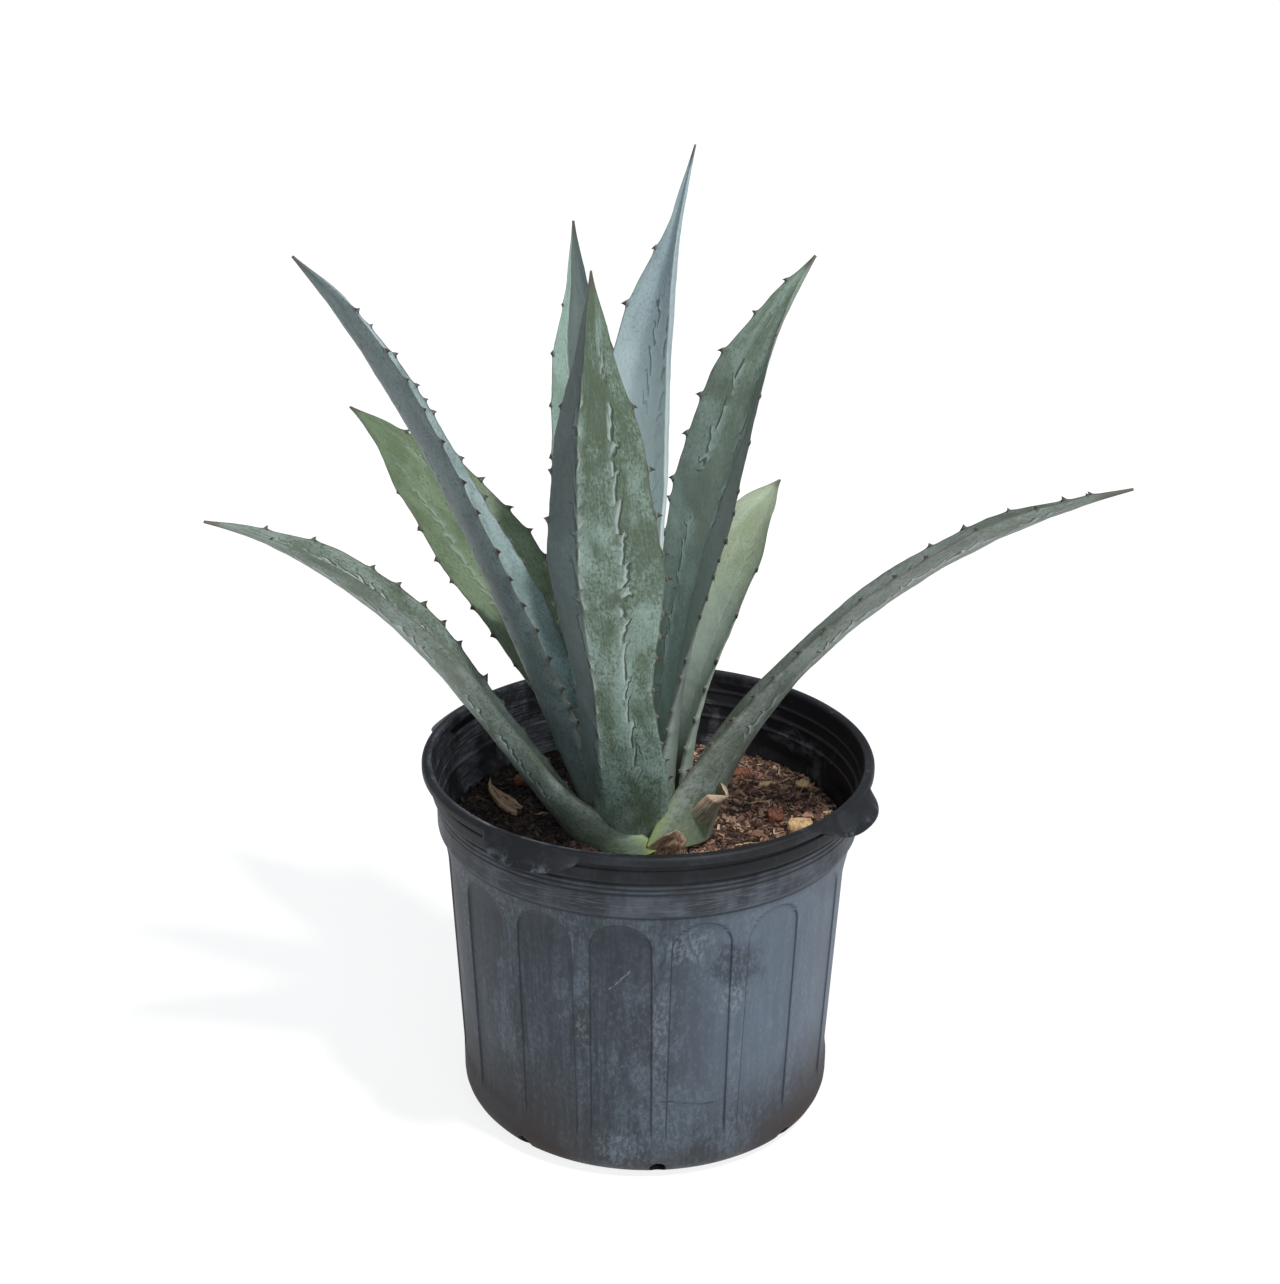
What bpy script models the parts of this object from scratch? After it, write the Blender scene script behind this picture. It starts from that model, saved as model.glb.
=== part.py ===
"""A young blue agave growing in a three-gallon nursery pot.

The pot stands on z = 0 with its axis on Z. Azimuths are measured in degrees from
the front (-Y), turning towards the right (+X). Everything is in metres.
"""
import math
from dataclasses import dataclass

import bmesh
import bpy
from mathutils import Vector

# ---- driving dimensions of the pot ----
POT_HEIGHT = 0.2345
RIM_RADIUS = 0.140
LIP_WIDTH = 0.0050
LIP_HEIGHT = 0.0054
WALL = 0.0016
BASE_RADIUS = 0.1006
CORNER_RADIUS = 0.0165
FLARE_HEIGHT = 0.0215
WALL_TOP_INSET = 0.0153
UPPER_BAND_DROP = 0.0114
UPPER_BAND_INSET = 0.0055
UPPER_BAND_HEIGHT = 0.0085
LOWER_BAND_INSET = 0.0088
LOWER_BAND_HEIGHT = 0.0205
BAND_GROOVE = 0.0014
GROOVE_HEIGHT = 0.0030
CHAMFER = 0.0006
COLUMNS = 80
CORNER_STEPS = 3

# ---- panels, grip tabs and drain holes, all set out from one tab ----
PATTERN_TURN = -29.5
PANEL_COUNT = 16
PANEL_DEPTH = 0.0012
PANEL_FOOT = 0.030
PANEL_FOOT_SLOPE = 0.004
PANEL_TOP_GAP = 0.006
PANEL_TOP_SLOPE = 0.008
PANEL_SHARE = 0.6
TAB_COUNT = 4
TAB_REACH = 0.012
TAB_DROP = 0.0065
TAB_HALF_ANGLE = 13.5
TAB_THICKNESS = 0.0023
DRAIN_COUNT = 8
DRAIN_RADIUS = 0.0055
DRAIN_HEIGHT = 0.0065
DRAIN_DEPTH = 0.036
DRAIN_SIDES = 10
DRAIN_TURN = 0.75

# ---- soil, stem and the gap that separate pieces keep ----
HEADSPACE = 0.0505
SOIL_CROWN = 0.0020
CROWN_SHOULDER = 0.7
SOIL_EDGE_WIDTH = 0.0040
SOIL_EDGE_DROP = 0.0020
STEM_RADIUS = 0.0135
STEM_DEPTH = 0.060
STEM_TOP_RISE = 0.009
GAP = 0.0003
LEAF_GAP = 0.0005
WELD = 0.000002

# ---- leaf mesh fineness ----
LEAF_RINGS = 18
ARC_POINTS = 5
SPINE_SHARE = 0.012
WIDTH_STATIONS = (0.0, 0.15, 0.35, 0.55, 0.75, 0.9, 1.0)
LEAF_BASE_THICKNESS = 0.0095
LEAF_BASE_FADE = 2.2
LEAF_BLADE_THICKNESS = 0.0035
LEAF_BLADE_THINNING = 0.6

# ---- loose pieces on the soil ----
CHIP_TAPER = 0.75
CHIP_WEAR = 0.3
STRAW_STEPS = 8

# ---- sizes that follow from the ones above ----
SOIL_HEIGHT = POT_HEIGHT - HEADSPACE
UPPER_BAND_RADIUS = RIM_RADIUS - UPPER_BAND_INSET
LOWER_BAND_RADIUS = RIM_RADIUS - LOWER_BAND_INSET
WALL_TOP_RADIUS = RIM_RADIUS - WALL_TOP_INSET
UPPER_BAND_TOP = POT_HEIGHT - UPPER_BAND_DROP
UPPER_BAND_FOOT = UPPER_BAND_TOP - UPPER_BAND_HEIGHT
LOWER_BAND_TOP = UPPER_BAND_FOOT - GROOVE_HEIGHT
LOWER_BAND_FOOT = LOWER_BAND_TOP - LOWER_BAND_HEIGHT
FLARE_TOP = LOWER_BAND_FOOT - GROOVE_HEIGHT
WALL_TOP_HEIGHT = FLARE_TOP - FLARE_HEIGHT
WALL_FOOT_RADIUS = BASE_RADIUS + CORNER_RADIUS


@dataclass
class Leaf:
    """One leaf: where it leaves the rosette, how it rises and turns, and its blade.

    radius and height place the start of the midrib, from the axis and above the soil.
    """

    name: str
    azimuth: float
    radius: float
    height: float
    length: float
    rise: tuple
    turn: tuple
    roll: tuple
    half_width: float
    shares: tuple
    cups: tuple
    thickness: float = 1.0


# Youngest leaf first: each later leaf stands outside the ones before it.
# rise, turn and roll hold the start value (turn starts at the azimuth) and its growth
# along the leaf; cups hold the half angle of the channel at base, middle and tip.
LEAVES = (
    Leaf("leaf_spear", 139, -0.009, 0.016, 0.412, (92, -9, -9), (-4, -6), (2, -4),
         0.0388, (0.60, 0.55, 0.86, 1.04, 0.66, 0.14), (118, 62, 100), 0.45),
    Leaf("leaf_back", 204, 0.014, 0.012, 0.367, (65, -4, 11), (-8, -7), (0, -2),
         0.0337, (0.60, 0.58, 0.86, 1.00, 0.74, 0.22), (57, 51, 64), 0.80),
    Leaf("leaf_right_tall", 108, 0.006, 0.013, 0.361, (86, -10, -19), (4, -2), (-3, 14),
         0.0396, (0.60, 0.58, 0.78, 1.03, 0.81, 0.33), (59, 12, 100), 0.80),
    Leaf("leaf_front", -16, 0.030, -0.005, 0.406, (64, 23, 3), (3, 0), (0, -6),
         0.0368, (0.62, 0.77, 0.67, 1.00, 0.77, 0.30), (52, 30, 58)),
    Leaf("leaf_right_back", 124, 0.020, 0.006, 0.229, (96, -51, -10), (6, 6), (-1, 16),
         0.0344, (0.60, 0.58, 0.83, 1.00, 0.86, 0.38), (58, 41, 42)),
    Leaf("leaf_left_tall", -95, 0.023, 0.004, 0.403, (65, 11, -23), (6, 4), (1, 11),
         0.0437, (0.60, 0.64, 1.04, 0.87, 0.78, 0.47), (68, 37, 62)),
    Leaf("leaf_left_back", -136, 0.024, 0.006, 0.335, (55, -31, -4), (2, 1), (-2, -3),
         0.0373, (0.60, 0.57, 0.84, 1.01, 0.79, 0.30), (58, 16, 58)),
    Leaf("leaf_right_low", 82, 0.027, 0.004, 0.360, (72, -69, 18), (-3, 0), (-1, -15),
         0.0365, (0.61, 0.71, 0.71, 1.01, 0.84, 0.25), (74, 29, 69)),
    Leaf("leaf_left_low", -74, 0.020, -0.021, 0.355, (49, 39, -68), (2, 2), (-2, 1),
         0.0366, (0.62, 0.45, 0.65, 1.03, 0.73, 0.24), (71, 47, 56)),
    Leaf("old_leaf_stump", 56, 0.030, 0.002, 0.052, (46, -12, 0), (0, 0), (0, 0),
         0.0200, (1.00, 0.95, 0.90, 0.85, 0.75, 0.62), (50, 55, 60), 0.55),
    Leaf("torn_leaf_stub", 16, 0.046, 0.001, 0.026, (58, 10, 0), (0, 0), (0, 0),
         0.0140, (1.00, 0.95, 0.85, 0.70, 0.50, 0.30), (30, 30, 30), 0.35),
    Leaf("dried_leaf_curl", -100, RIM_RADIUS - 0.058, 0.002, 0.034, (5, 70, 30), (10, 0),
         (0, 0), 0.0090, (0.50, 0.90, 1.00, 0.80, 0.50, 0.25), (60, 70, 60), 0.30),
)


LIVING_LEAVES = [leaf.name for leaf in LEAVES if leaf.name.startswith("leaf_")]


@dataclass
class Chip:
    """A loose piece lying on the soil.

    place is its azimuth and its distance from the axis as a share of the soil's radius.
    """

    name: str
    size: tuple
    place: tuple
    heading: float
    tilt: float
    material: str


CHIPS = (
    Chip("pale_wood_chip", (0.014, 0.010, 0.005), (85, 0.77), 25, 12, "pale_wood"),
    Chip("pale_wood_flake", (0.008, 0.005, 0.002), (126, 0.76), -20, 6, "pale_wood"),
    Chip("pale_wood_flake_far", (0.007, 0.006, 0.002), (120, 0.93), 60, 8, "pale_wood"),
    Chip("bark_chip_right", (0.012, 0.008, 0.004), (96, 0.65), 75, 8, "bark"),
    Chip("bark_chip_far", (0.013, 0.007, 0.004), (140, 0.73), 10, 6, "bark"),
    Chip("bark_chip_back", (0.012, 0.007, 0.004), (-162, 0.80), -35, 6, "bark"),
    Chip("bark_chip_left", (0.013, 0.008, 0.004), (-125, 0.78), 15, 8, "bark"),
    Chip("bark_chip_front", (0.012, 0.008, 0.004), (7, 0.75), 5, 6, "bark"),
)


@dataclass
class Straw:
    """A straw or fine root lying on the soil, bowed sideways between two places.

    A place is an azimuth and a share of the soil's radius, as for the chips.
    """

    name: str
    start: tuple
    end: tuple
    bow: float
    radius: float


STRAWS = (
    Straw("straw_right", (129, 0.46), (108, 0.74), 0.003, 0.0007),
    Straw("straw_front_right", (58, 0.52), (72, 0.73), -0.003, 0.0006),
    Straw("straw_left", (-99, 0.61), (-112, 0.45), 0.002, 0.0006),
)


# ---- small helpers ----
def clear_scene():
    for obj in list(bpy.data.objects):
        bpy.data.objects.remove(obj, do_unlink=True)


def make_collection(name):
    collection = bpy.data.collections.new(name)
    bpy.context.scene.collection.children.link(collection)
    return collection


def make_material(name, colour, roughness, metallic=0.0):
    material = bpy.data.materials.new(name)
    material.use_nodes = True
    shader = material.node_tree.nodes["Principled BSDF"]
    shader.inputs["Base Color"].default_value = (*colour, 1.0)
    shader.inputs["Roughness"].default_value = roughness
    shader.inputs["Metallic"].default_value = metallic
    return material


def add_object(name, mesh, collection, material=None):
    obj = bpy.data.objects.new(name, mesh)
    collection.objects.link(obj)
    if material:
        mesh.materials.clear()
        mesh.materials.append(material)
    return obj


def evaluated_copy(obj, name):
    """The mesh of an object with its modifiers worked in."""
    bpy.context.view_layer.update()
    graph = bpy.context.evaluated_depsgraph_get()
    mesh = bpy.data.meshes.new_from_object(obj.evaluated_get(graph))
    mesh.name = name
    return mesh


def applied(obj):
    """Replaces an object's mesh with its evaluated one and drops the modifiers."""
    mesh = evaluated_copy(obj, obj.name)
    obj.modifiers.clear()
    obj.data = mesh
    return obj


def shade(mesh, angle=35.0):
    mesh.shade_smooth()
    mesh.set_sharp_from_angle(angle=math.radians(angle))


def blend(start, end, share):
    return start + (end - start) * share


def outward(azimuth):
    """The horizontal direction of an azimuth in radians, and the one a quarter turn on."""
    heading = Vector((math.sin(azimuth), -math.cos(azimuth), 0.0))
    side = Vector((math.cos(azimuth), math.sin(azimuth), 0.0))
    return heading, side


# ---- pot ----
def wall_radius(height):
    share = (height - CORNER_RADIUS) / (WALL_TOP_HEIGHT - CORNER_RADIUS)
    return blend(WALL_FOOT_RADIUS, WALL_TOP_RADIUS, share)


def corner_arc(offset):
    """The rounded foot of the wall, from the wall down to the base."""
    radius = CORNER_RADIUS - offset
    points = []
    for step in range(CORNER_STEPS + 1):
        angle = math.radians(90.0 * step / CORNER_STEPS)
        points.append((BASE_RADIUS + radius * math.cos(angle),
                       CORNER_RADIUS - radius * math.sin(angle)))
    return points


def panel_heights():
    """The heights at which the sunk panels start, turn flat and end."""
    top = FLARE_TOP - PANEL_TOP_GAP
    return top, top - PANEL_TOP_SLOPE, PANEL_FOOT + PANEL_FOOT_SLOPE, PANEL_FOOT


def body_radius(height):
    """Outer radius of the body: a straight wall that flares into the lower band."""
    if height <= WALL_TOP_HEIGHT:
        return wall_radius(height)
    share = min((height - WALL_TOP_HEIGHT) / FLARE_HEIGHT, 1.0)
    return blend(WALL_TOP_RADIUS, LOWER_BAND_RADIUS - 2 * BAND_GROOVE, share)


def outer_profile():
    """The outer side, from the lip down to the centre of the base."""
    lip_foot = POT_HEIGHT - LIP_HEIGHT
    profile = [
        (RIM_RADIUS - LIP_WIDTH, POT_HEIGHT),
        (RIM_RADIUS, POT_HEIGHT - CHAMFER),
        (RIM_RADIUS, lip_foot + TAB_THICKNESS),
        (RIM_RADIUS, lip_foot),
        (UPPER_BAND_RADIUS - BAND_GROOVE, lip_foot - CHAMFER),
        (UPPER_BAND_RADIUS - BAND_GROOVE, UPPER_BAND_TOP),
        (UPPER_BAND_RADIUS, UPPER_BAND_TOP - CHAMFER),
        (UPPER_BAND_RADIUS, UPPER_BAND_FOOT),
        (LOWER_BAND_RADIUS - BAND_GROOVE, UPPER_BAND_FOOT - CHAMFER),
        (LOWER_BAND_RADIUS - BAND_GROOVE, LOWER_BAND_TOP),
        (LOWER_BAND_RADIUS, LOWER_BAND_TOP - CHAMFER),
        (LOWER_BAND_RADIUS - BAND_GROOVE / 2, LOWER_BAND_FOOT),
        (LOWER_BAND_RADIUS - 2 * BAND_GROOVE, LOWER_BAND_FOOT - CHAMFER),
    ]
    heights = [FLARE_TOP, *panel_heights()[:2], WALL_TOP_HEIGHT, *panel_heights()[2:]]
    profile += [(body_radius(height), height) for height in sorted(heights, reverse=True)]
    profile += corner_arc(0.0)
    profile.append((0.0, 0.0))
    return profile


def inner_profile():
    """The inner side, from the centre of the floor up to the lip."""
    heights = [FLARE_TOP, *panel_heights(), WALL_TOP_HEIGHT]
    inset = WALL + BAND_GROOVE
    profile = [(0.0, WALL)]
    profile += reversed(corner_arc(WALL))
    profile += [(body_radius(height) - WALL, height) for height in sorted(heights)]
    profile += [
        (LOWER_BAND_RADIUS - inset, LOWER_BAND_TOP),
        (UPPER_BAND_RADIUS - inset, UPPER_BAND_FOOT),
        (UPPER_BAND_RADIUS - inset, UPPER_BAND_TOP),
        (RIM_RADIUS - LIP_WIDTH - CHAMFER, POT_HEIGHT - LIP_HEIGHT / 2),
    ]
    return profile


def turned_object(name, profile, collection):
    """A solid of revolution about Z from a profile of (radius, height) points."""
    mesh = bpy.data.meshes.new(name)
    edges = [(index, index + 1) for index in range(len(profile) - 1)]
    mesh.from_pydata([(radius, 0.0, height) for radius, height in profile], edges, [])
    obj = add_object(name, mesh, collection)
    screw = obj.modifiers.new("turn", "SCREW")
    screw.axis = "Z"
    screw.angle = math.radians(360.0)
    screw.steps = COLUMNS
    screw.render_steps = COLUMNS
    screw.use_merge_vertices = True
    screw.merge_threshold = 0.00001
    return applied(obj)


def angle_from(point, first, count):
    """Degrees from a point to the nearest of a number of evenly spaced azimuths."""
    azimuth = math.degrees(math.atan2(point.x, -point.y))
    pitch = 360.0 / count
    return (azimuth - first + pitch / 2) % pitch - pitch / 2


def push_out(point, distance, drop=0.0):
    radial = Vector((point.x, point.y, 0.0)).normalized()
    return point + radial * distance - Vector((0.0, 0.0, drop))


def align_columns(mesh):
    """Turns a revolved mesh so that a column of its vertices lies on the first tab."""
    turn = math.radians(PATTERN_TURN - 90.0)
    for vertex in mesh.vertices:
        x, y, z = vertex.co
        vertex.co = (x * math.cos(turn) - y * math.sin(turn),
                     x * math.sin(turn) + y * math.cos(turn), z)


def sink_panels(mesh):
    """Presses the sixteen upright panels into the wall, inside and outside alike."""
    top, full_top, full_bottom, bottom = panel_heights()
    half_panel = 180.0 / PANEL_COUNT * PANEL_SHARE
    for vertex in mesh.vertices:
        point = vertex.co
        radius = math.hypot(point.x, point.y)
        on_wall = radius > BASE_RADIUS and full_bottom - 0.0001 <= point.z <= full_top + 0.0001
        if on_wall and abs(angle_from(point, PATTERN_TURN, PANEL_COUNT)) < half_panel:
            vertex.co = push_out(point, -PANEL_DEPTH)


def draw_tabs(mesh):
    """Draws the grip tabs out of the lower edge of the lip."""
    lip_foot = POT_HEIGHT - LIP_HEIGHT
    for vertex in mesh.vertices:
        point = vertex.co
        radius = math.hypot(point.x, point.y)
        low_lip = lip_foot - 0.0001 <= point.z <= lip_foot + TAB_THICKNESS + 0.0001
        share = angle_from(point, PATTERN_TURN, TAB_COUNT) / TAB_HALF_ANGLE
        if low_lip and radius > RIM_RADIUS - 0.0001 and abs(share) < 1.0:
            fullness = 1.0 - share ** 4
            vertex.co = push_out(point, TAB_REACH * fullness, TAB_DROP * fullness)


def make_pot(parts, cutters, material):
    pot = turned_object("nursery_pot", inner_profile() + outer_profile(), parts)
    align_columns(pot.data)
    sink_panels(pot.data)
    draw_tabs(pot.data)
    pot.data.materials.append(material)
    shade(pot.data)
    for index in range(DRAIN_COUNT):
        azimuth = math.radians(PATTERN_TURN + (index + DRAIN_TURN) * 360.0 / DRAIN_COUNT)
        heading, _ = outward(azimuth)
        bpy.ops.mesh.primitive_cylinder_add(vertices=DRAIN_SIDES, radius=DRAIN_RADIUS,
                                            depth=DRAIN_DEPTH)
        hole = bpy.context.object
        hole.name = f"drain_hole_{index + 1}"
        hole.location = heading * WALL_FOOT_RADIUS + Vector((0.0, 0.0, DRAIN_HEIGHT))
        hole.rotation_euler = (0.0, math.radians(90.0), azimuth - math.radians(90.0))
        move_to(hole, cutters)
        cut(pot, hole)
    return applied(pot)


# ---- booleans ----
def move_to(obj, collection):
    for old in list(obj.users_collection):
        old.objects.unlink(obj)
    collection.objects.link(obj)
    if collection.name == "cutters":
        obj.hide_render = True
        obj.display_type = "WIRE"


def cut(obj, cutter):
    modifier = obj.modifiers.new(f"clear of {cutter.name}", "BOOLEAN")
    modifier.operation = "DIFFERENCE"
    modifier.solver = "EXACT"
    modifier.object = cutter


def keep_main_body(obj):
    """Drops loose crumbs that the cuts leave beside the main body."""
    mesh = bmesh.new()
    mesh.from_mesh(obj.data)
    bmesh.ops.remove_doubles(mesh, verts=mesh.verts, dist=WELD)
    mesh.faces.ensure_lookup_table()
    left = set(mesh.faces)
    bodies = []
    while left:
        body = {left.pop()}
        front = list(body)
        while front:
            face = front.pop()
            for edge in face.edges:
                for other in edge.link_faces:
                    if other in left:
                        left.discard(other)
                        body.add(other)
                        front.append(other)
        bodies.append(body)
    largest = max(bodies, key=len)
    crumbs = [face for body in bodies if body is not largest for face in body]
    bmesh.ops.delete(mesh, geom=crumbs, context="FACES")
    mesh.to_mesh(obj.data)
    mesh.free()


# ---- leaves ----
def share_at(leaf, along):
    """Half width at a place along the leaf, eased between the stations."""
    shares = (*leaf.shares, SPINE_SHARE)
    for index in range(len(WIDTH_STATIONS) - 1):
        start, end = WIDTH_STATIONS[index], WIDTH_STATIONS[index + 1]
        if along <= end:
            part = (along - start) / (end - start)
            eased = part * part * (3.0 - 2.0 * part)
            part = blend(part, eased, 0.35)
            return leaf.half_width * blend(shares[index], shares[index + 1], part)
    return leaf.half_width * SPINE_SHARE


def cup_at(leaf, along):
    """Half angle of the channel, in radians."""
    base, middle, tip = (math.radians(angle) for angle in leaf.cups)
    if along < 0.5:
        return blend(base, middle, math.sin(along * math.pi))
    return blend(middle, tip, (2.0 * along - 1.0) ** 2)


def thickness_at(leaf, along):
    thick = LEAF_BASE_THICKNESS * (1.0 - along) ** LEAF_BASE_FADE
    thick += LEAF_BLADE_THICKNESS * (1.0 - LEAF_BLADE_THINNING * along)
    return thick * leaf.thickness


def leaf_frames(leaf):
    """Points along the midrib with the directions across and up out of the blade."""
    azimuth = math.radians(leaf.azimuth)
    heading, _ = outward(azimuth)
    point = heading * leaf.radius + Vector((0.0, 0.0, SOIL_HEIGHT + leaf.height))
    step = leaf.length / LEAF_RINGS
    last_tangent = None
    frames = []
    for ring in range(LEAF_RINGS + 1):
        along = ring / LEAF_RINGS
        rise = math.radians(leaf.rise[0] + leaf.rise[1] * along + leaf.rise[2] * along ** 2)
        turned = azimuth + math.radians(leaf.turn[0] * along + leaf.turn[1] * along ** 2)
        roll = math.radians(leaf.roll[0] + leaf.roll[1] * along)
        heading, side = outward(turned)
        tangent = heading * math.cos(rise) + Vector((0.0, 0.0, math.sin(rise)))
        up = Vector((0.0, 0.0, math.cos(rise))) - heading * math.sin(rise)
        across = side * math.cos(roll) + up * math.sin(roll)
        normal = up * math.cos(roll) - side * math.sin(roll)
        if last_tangent:
            point = point + (tangent + last_tangent) * step / 2
        last_tangent = tangent
        frames.append((along, point.copy(), across, normal, tangent))
    return frames


def leaf_mesh(leaf, name, grow=0.0):
    """Lofts the blade: a channelled upper face and a thicker rounded back."""
    mesh = bmesh.new()
    rings = []
    for along, point, across, normal, tangent in leaf_frames(leaf):
        width = share_at(leaf, along)
        cup = cup_at(leaf, along)
        bend = width / cup
        thick = thickness_at(leaf, along)
        if along in (0.0, 1.0):
            point = point + tangent * grow * (1.0 if along else -1.0)
        upper, lower = [], []
        for index in range(ARC_POINTS):
            place = 2.0 * index / (ARC_POINTS - 1) - 1.0
            angle = cup * place
            face = point + across * bend * math.sin(angle) + normal * bend * (1 - math.cos(angle))
            out = across * math.sin(angle) - normal * math.cos(angle)
            edge = across * math.cos(angle) + normal * math.sin(angle)
            spread = edge * grow * place
            upper.append(face - out * grow + spread)
            back = thick * math.sqrt(max(0.0, 1.0 - place * place)) + grow
            lower.append(face + out * back + spread)
        if grow:
            ring = upper + lower[::-1]
        else:
            ring = upper + lower[-2:0:-1]
        rings.append([mesh.verts.new(place) for place in ring])
    count = len(rings[0])
    for near, far in zip(rings, rings[1:]):
        for index in range(count):
            following = (index + 1) % count
            mesh.faces.new((near[index], near[following], far[following], far[index]))
    mesh.faces.new(reversed(rings[0]))
    mesh.faces.new(rings[-1])
    bmesh.ops.recalc_face_normals(mesh, faces=mesh.faces)
    data = bpy.data.meshes.new(name)
    mesh.to_mesh(data)
    mesh.free()
    shade(data, 50.0)
    return data


def make_leaves(parts, cutters, blade, dried):
    """Builds the rosette from the middle outwards, each leaf clear of those inside it."""
    grown = []
    for leaf in LEAVES:
        material = blade if leaf.name in LIVING_LEAVES else dried
        obj = add_object(leaf.name, leaf_mesh(leaf, leaf.name), parts, material)
        for inner in grown:
            cut(obj, inner)
        applied(obj)
        keep_main_body(obj)
        cutter = add_object(f"{leaf.name}_room", leaf_mesh(leaf, leaf.name, LEAF_GAP), cutters)
        move_to(cutter, cutters)
        grown.append(cutter)
    return grown


# ---- stem and soil ----
def stem_profile(grow):
    top = SOIL_HEIGHT + STEM_TOP_RISE + grow
    foot = SOIL_HEIGHT - STEM_DEPTH - grow
    radius = STEM_RADIUS + grow
    return [
        (0.0, top),
        (radius * 0.55, top - 0.0008),
        (radius * 0.90, top - 0.0035),
        (radius, top - 0.0080),
        (radius * 0.95, SOIL_HEIGHT - 0.020),
        (radius * 0.70, foot + 0.012),
        (radius * 0.35, foot + 0.002),
        (0.0, foot),
    ]


def make_stem(parts, cutters, grown, material):
    stem = turned_object("stem", stem_profile(0.0), parts)
    stem.data.materials.append(material)
    shade(stem.data)
    for leaf in grown:
        cut(stem, leaf)
    applied(stem)
    keep_main_body(stem)
    room = turned_object("stem_room", stem_profile(GAP), cutters)
    move_to(room, cutters)
    return room


def soil_edge():
    """Radius of the soil's surface where it meets the wall."""
    return body_radius(SOIL_HEIGHT) - WALL - PANEL_DEPTH - GAP


def soil_profile():
    """Soil filling the pot, a clearance inside the sunk panels, crowned in the middle."""
    inset = WALL + PANEL_DEPTH + GAP
    floor = WALL + GAP
    edge = soil_edge()
    profile = [
        (0.0, SOIL_HEIGHT + SOIL_CROWN),
        (edge * 0.5, SOIL_HEIGHT + SOIL_CROWN * CROWN_SHOULDER),
        (edge - SOIL_EDGE_WIDTH, SOIL_HEIGHT),
        (edge, SOIL_HEIGHT - SOIL_EDGE_DROP),
    ]
    if WALL_TOP_HEIGHT < SOIL_HEIGHT - 2 * SOIL_EDGE_DROP:
        profile.append((WALL_TOP_RADIUS - inset, WALL_TOP_HEIGHT))
    profile += [
        (WALL_FOOT_RADIUS - inset, CORNER_RADIUS),
        (BASE_RADIUS + CORNER_RADIUS * 0.5, floor + CORNER_RADIUS * 0.25),
        (BASE_RADIUS - 0.002, floor),
        (0.0, floor),
    ]
    return profile


def make_soil(parts, rooms, material):
    soil = turned_object("potting_mix", soil_profile(), parts)
    align_columns(soil.data)
    soil.data.materials.append(material)
    shade(soil.data)
    for room in rooms:
        cut(soil, room)
    applied(soil)
    keep_main_body(soil)
    return soil


def soil_top(x, y):
    """Height of the soil's surface, which falls in two slopes from the middle to the edge."""
    share = min(math.hypot(x, y) / soil_edge(), 1.0)
    if share < 0.5:
        return SOIL_HEIGHT + SOIL_CROWN * blend(1.0, CROWN_SHOULDER, 2.0 * share)
    return SOIL_HEIGHT + SOIL_CROWN * blend(CROWN_SHOULDER, 0.0, 2.0 * share - 1.0)


# ---- loose pieces on the soil ----
def on_soil(place):
    """The point on the soil's surface at an azimuth and a share of its radius."""
    azimuth, share = place
    heading, _ = outward(math.radians(azimuth))
    point = heading * soil_edge() * share
    point.z = soil_top(point.x, point.y)
    return point


def make_chip(chip, parts, material):
    bpy.ops.mesh.primitive_cube_add(size=1.0)
    obj = bpy.context.object
    obj.name = chip.name
    mesh = obj.data
    length, width, height = chip.size
    for vertex in mesh.vertices:
        taper = CHIP_TAPER if vertex.co.x > 0 else 1.0
        vertex.co = (vertex.co.x * length, vertex.co.y * width * taper, vertex.co.z * height)
    tilt = math.radians(chip.tilt)
    rise = height / 2 * math.cos(tilt) + length / 2 * math.sin(tilt)
    obj.location = on_soil(chip.place) + Vector((0.0, 0.0, rise + GAP))
    obj.rotation_euler = (0.0, tilt, math.radians(chip.heading))
    bevel = obj.modifiers.new("worn edges", "BEVEL")
    bevel.width = height * CHIP_WEAR
    bevel.segments = 1
    mesh.materials.append(material)
    move_to(obj, parts)


def make_straw(straw, parts, material):
    curve = bpy.data.curves.new(straw.name, "CURVE")
    curve.dimensions = "3D"
    curve.bevel_depth = straw.radius
    curve.bevel_resolution = 1
    curve.use_fill_caps = True
    spline = curve.splines.new("POLY")
    spline.points.add(STRAW_STEPS)
    start = on_soil(straw.start)
    end = on_soil(straw.end)
    side = (end - start).cross(Vector((0.0, 0.0, 1.0))).normalized()
    for index in range(STRAW_STEPS + 1):
        share = index / STRAW_STEPS
        point = start.lerp(end, share) + side * straw.bow * math.sin(math.pi * share)
        height = soil_top(point.x, point.y) + straw.radius + 2 * GAP
        spline.points[index].co = (point.x, point.y, height, 1.0)
    curve.materials.append(material)
    obj = bpy.data.objects.new(straw.name, curve)
    parts.objects.link(obj)


def build():
    clear_scene()
    parts = make_collection("potted_agave")
    cutters = make_collection("cutters")
    plastic = make_material("black_plastic", (0.075, 0.085, 0.100), 0.55)
    soil = make_material("potting_soil", (0.070, 0.040, 0.028), 0.95)
    blade = make_material("agave_leaf", (0.230, 0.330, 0.300), 0.55)
    dried = make_material("dried_leaf", (0.420, 0.300, 0.160), 0.85)
    heart = make_material("agave_stem", (0.500, 0.560, 0.300), 0.60)
    straw_finish = make_material("straw", (0.550, 0.430, 0.240), 0.80)
    chip_finishes = {
        "pale_wood": make_material("pale_wood", (0.620, 0.460, 0.270), 0.80),
        "bark": make_material("bark", (0.200, 0.085, 0.050), 0.90),
    }
    make_pot(parts, cutters, plastic)
    grown = make_leaves(parts, cutters, blade, dried)
    stem_room = make_stem(parts, cutters, grown, heart)
    make_soil(parts, [*grown, stem_room], soil)
    for chip in CHIPS:
        make_chip(chip, parts, chip_finishes[chip.material])
    for straw in STRAWS:
        make_straw(straw, parts, straw_finish)


build()
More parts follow.
